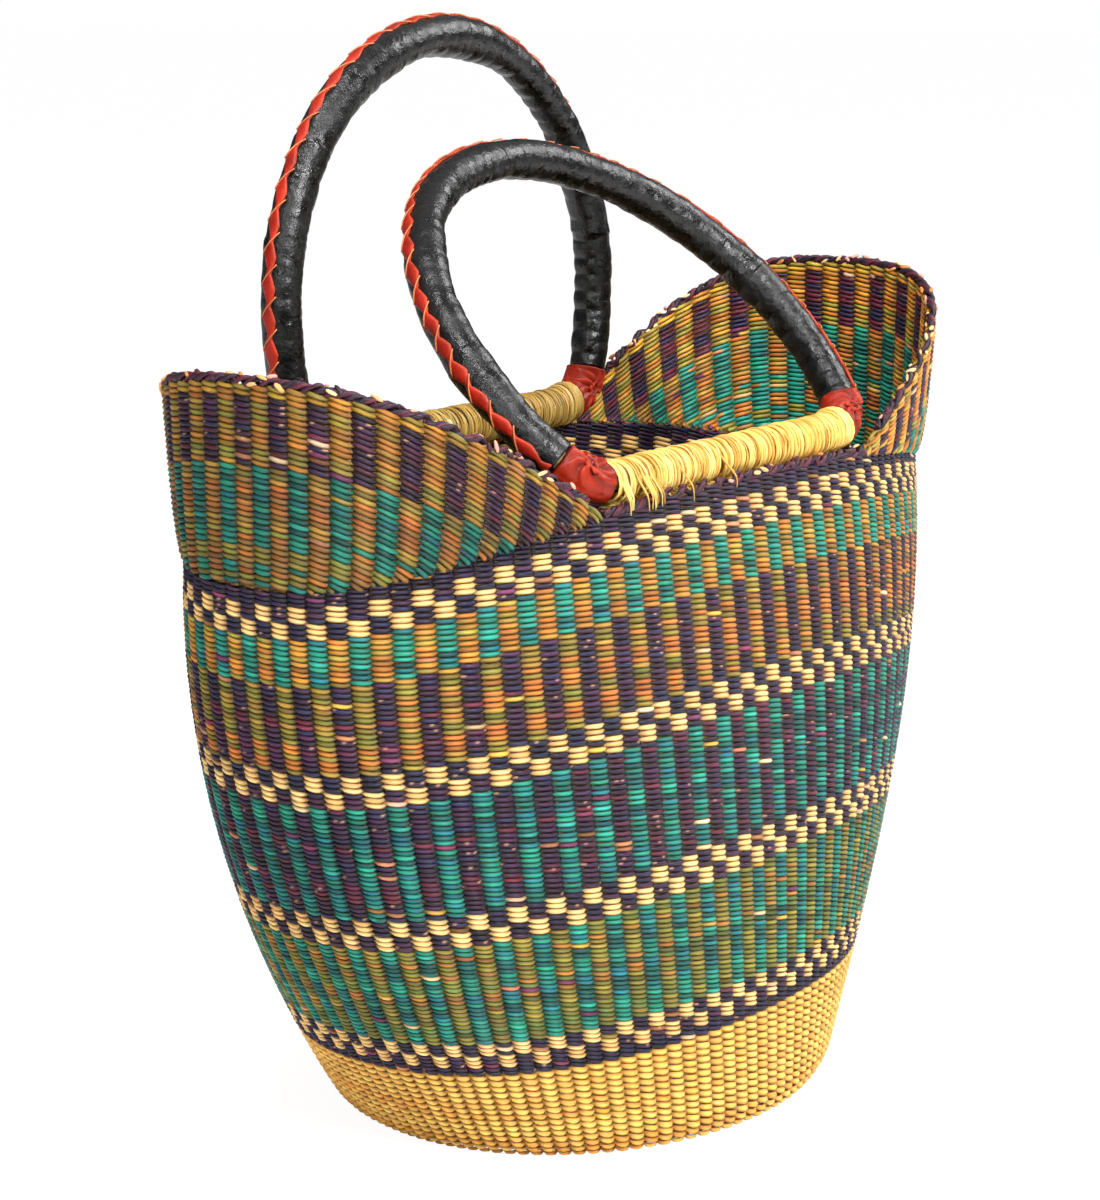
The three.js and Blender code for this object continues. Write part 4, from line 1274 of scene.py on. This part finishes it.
def make_ties(prefix, side, number):
    rng = seeded(number)
    for index, (first, last) in enumerate(zip(TIE_ENDS, TIE_ENDS[1:])):
        tubes = Tubes()
        start, stop = (lerp(-WOUND_HALF, WOUND_HALF, share) for share in (first, last))
        lean = rng.uniform(-LEAN, LEAN)
        for place in np.arange(start, stop, LASHING_PITCH) + TIE_START:
            near = max(0, 1 - (place + WOUND_HALF) / LOOSE_LENGTH)
            loose = rng.random() < 0.02 + 0.75 * near
            drop = TIE_DROP * rng.uniform(*LOOSE_DROP if loose else TUCKED_DROP)
            points = smooth_route(tie_route(side, place + rng.uniform(*PLACE_RANGE), drop, loose), 60)
            lengths = lengths_along(points)
            points[:, 0] += wander(lengths, *STRAW_WANDER, rng)
            sway = LOOSE_SWAY if loose else TUCKED_SWAY
            points[:, 0] += (lean + rng.uniform(-sway, sway)) * np.linspace(-1, 1, len(points))
            points[:, 0] = np.clip(points[:, 0], CUFF_CLEARANCE - WOUND_HALF, WOUND_HALF - CUFF_CLEARANCE)
            swell = wander(lengths, *SWELL_WANDER, rng) + rng.uniform(*SWELL_RANGE)
            points[:, 1] += side * swell * np.sign(side * points[:, 1] - BAR_Y)
            points[:, 2] += swell * np.sign(points[:, 2] - BAR_Z)
            code = BAR_COLORS[rng.integers(len(BAR_COLORS))]
            # The tie's straw gets the same painted light or shade as its bar
            shade = BAR_PAINTED_SHADING[side] * linear(code) * rng.uniform(*TONE_RANGE)
            taper = np.clip(lengths / TAPER_LENGTH, TAPERED, 1)
            add_thread(tubes, points, rng.uniform(*DIAMETER_RANGE) * taper, shade, rng)
        dress(tubes, f"{prefix}_tie_straws_{index + 1}", "basket", "natural_straw",
              f"{prefix}_bar_tie_{index + 1}")


make_ties("front", -1, 71)
make_ties("back", 1, 72)


# Floor, light and camera

FLOOR_HALF, FLOOR_DROP = 30.0, 0.2 * MM
# The floor's own colour, and how white and how much of it the camera sees as plain light
FLOOR_COLOR, FLOOR_WHITE, FLOOR_LIT_SHARE = (0.9, 0.9, 0.9, 1), 1.16, 0.8
# Where each lamp is, where it points, its diameter and its power
LAMPS = {
    "key_lamp": ((-2.3, -0.9, 1.2), (0, 0, 0.2), 0.8, 16),
    "mouth_lamp": ((-0.9, -0.5, 2.5), (0, 0, 0.2), 0.8, 34),
    "fill_lamp": ((-0.7, -2.2, 1.7), (0, 0, 0.2), 0.8, 68),
    "top_lamp": ((1.7, -0.9, 1.7), (0, 0, 0.35), 1.3, 36),
}
# The camera that the photo was taken with, as fitted to it
CAMERA_AZIMUTH, CAMERA_ELEVATION, CAMERA_ROLL = np.radians((53.661, 11.708, -0.137))
CAMERA_DISTANCE = 1305.48 * MM
CAMERA_TARGET = Vector((-8.81, 11.98, 214.42)) * MM
CAMERA_LENS, CAMERA_SENSOR, CAMERA_RANGE = 88.47, 36, (0.05, 100)


def make_floor():
    mesh = bpy.data.meshes.new("floor")
    corners = [(x * FLOOR_HALF, y * FLOOR_HALF, 0) for x, y in ((-1, -1), (1, -1), (1, 1), (-1, 1))]
    mesh.from_pydata(corners, [], [(0, 1, 2, 3)])
    floor = place_object("floor", mesh)
    floor.location.z = -FLOOR_DROP
    material = bpy.data.materials.new("floor_paper")
    tree = Tree(material)
    tree.nodes.remove(tree.nodes["Principled BSDF"])
    paper = tree.add("ShaderNodeBsdfDiffuse", 0, {"Color": FLOOR_COLOR})
    white = tree.add("ShaderNodeEmission", 0, {"Strength": FLOOR_WHITE})
    seen = tree.add("ShaderNodeMath", 0, {0: tree.camera_ray(), 1: FLOOR_LIT_SHARE}, operation="MULTIPLY")
    mix = tree.add("ShaderNodeMixShader", 0, {0: seen, 1: paper, 2: white})
    tree.feed(tree.nodes["Material Output"], {"Surface": mix})
    mesh.materials.append(material)


def make_world():
    """A sky that brightens upwards, plain white to the camera."""
    world = bpy.data.worlds.new("studio")
    bpy.context.scene.world = world
    tree = Tree(world)
    height = tree.add("ShaderNodeSeparateXYZ", "Z", {0: tree.add("ShaderNodeTexCoord", "Generated")})
    glow = tree.remap(height, 0.1, 0.9, 0.05, 0.5)
    strength = tree.add("ShaderNodeMapRange", "Result",
                        {"Value": tree.camera_ray(), "To Min": glow, "To Max": 1.0})
    tree.feed(tree.nodes["Background"], {"Color": (1, 1, 1, 1), "Strength": strength})


def make_lamp(name, location, target, size, power):
    light = bpy.data.lights.new(name, "AREA")
    light.shape = "DISK"
    light.size = size
    light.energy = power
    lamp = place_object(name, light)
    lamp.location = location
    lamp.rotation_mode = "QUATERNION"
    lamp.rotation_quaternion = (Vector(target) - Vector(location)).to_track_quat("-Z", "Y")


def make_camera():
    sine, cosine = math.sin(CAMERA_AZIMUTH), math.cos(CAMERA_AZIMUTH)
    level = math.cos(CAMERA_ELEVATION)
    back = Vector((-sine * level, -cosine * level, math.sin(CAMERA_ELEVATION)))
    right = Vector((cosine, -sine, 0))
    up = back.cross(right)
    turned_right = right * math.cos(CAMERA_ROLL) + up * math.sin(CAMERA_ROLL)
    turned_up = up * math.cos(CAMERA_ROLL) - right * math.sin(CAMERA_ROLL)
    data = bpy.data.cameras.new("camera")
    camera = place_object("camera", data)
    rotation = Matrix((turned_right, turned_up, back)).transposed().to_4x4()
    camera.matrix_world = Matrix.Translation(CAMERA_TARGET + back * CAMERA_DISTANCE) @ rotation
    data.sensor_fit = "AUTO"
    data.sensor_width = CAMERA_SENSOR
    data.lens = CAMERA_LENS
    data.clip_start, data.clip_end = CAMERA_RANGE
    bpy.context.scene.camera = camera


make_floor()
make_world()
for lamp_name, settings in LAMPS.items():
    make_lamp(lamp_name, *settings)
make_camera()
bpy.context.scene.view_settings.view_transform = "Standard"
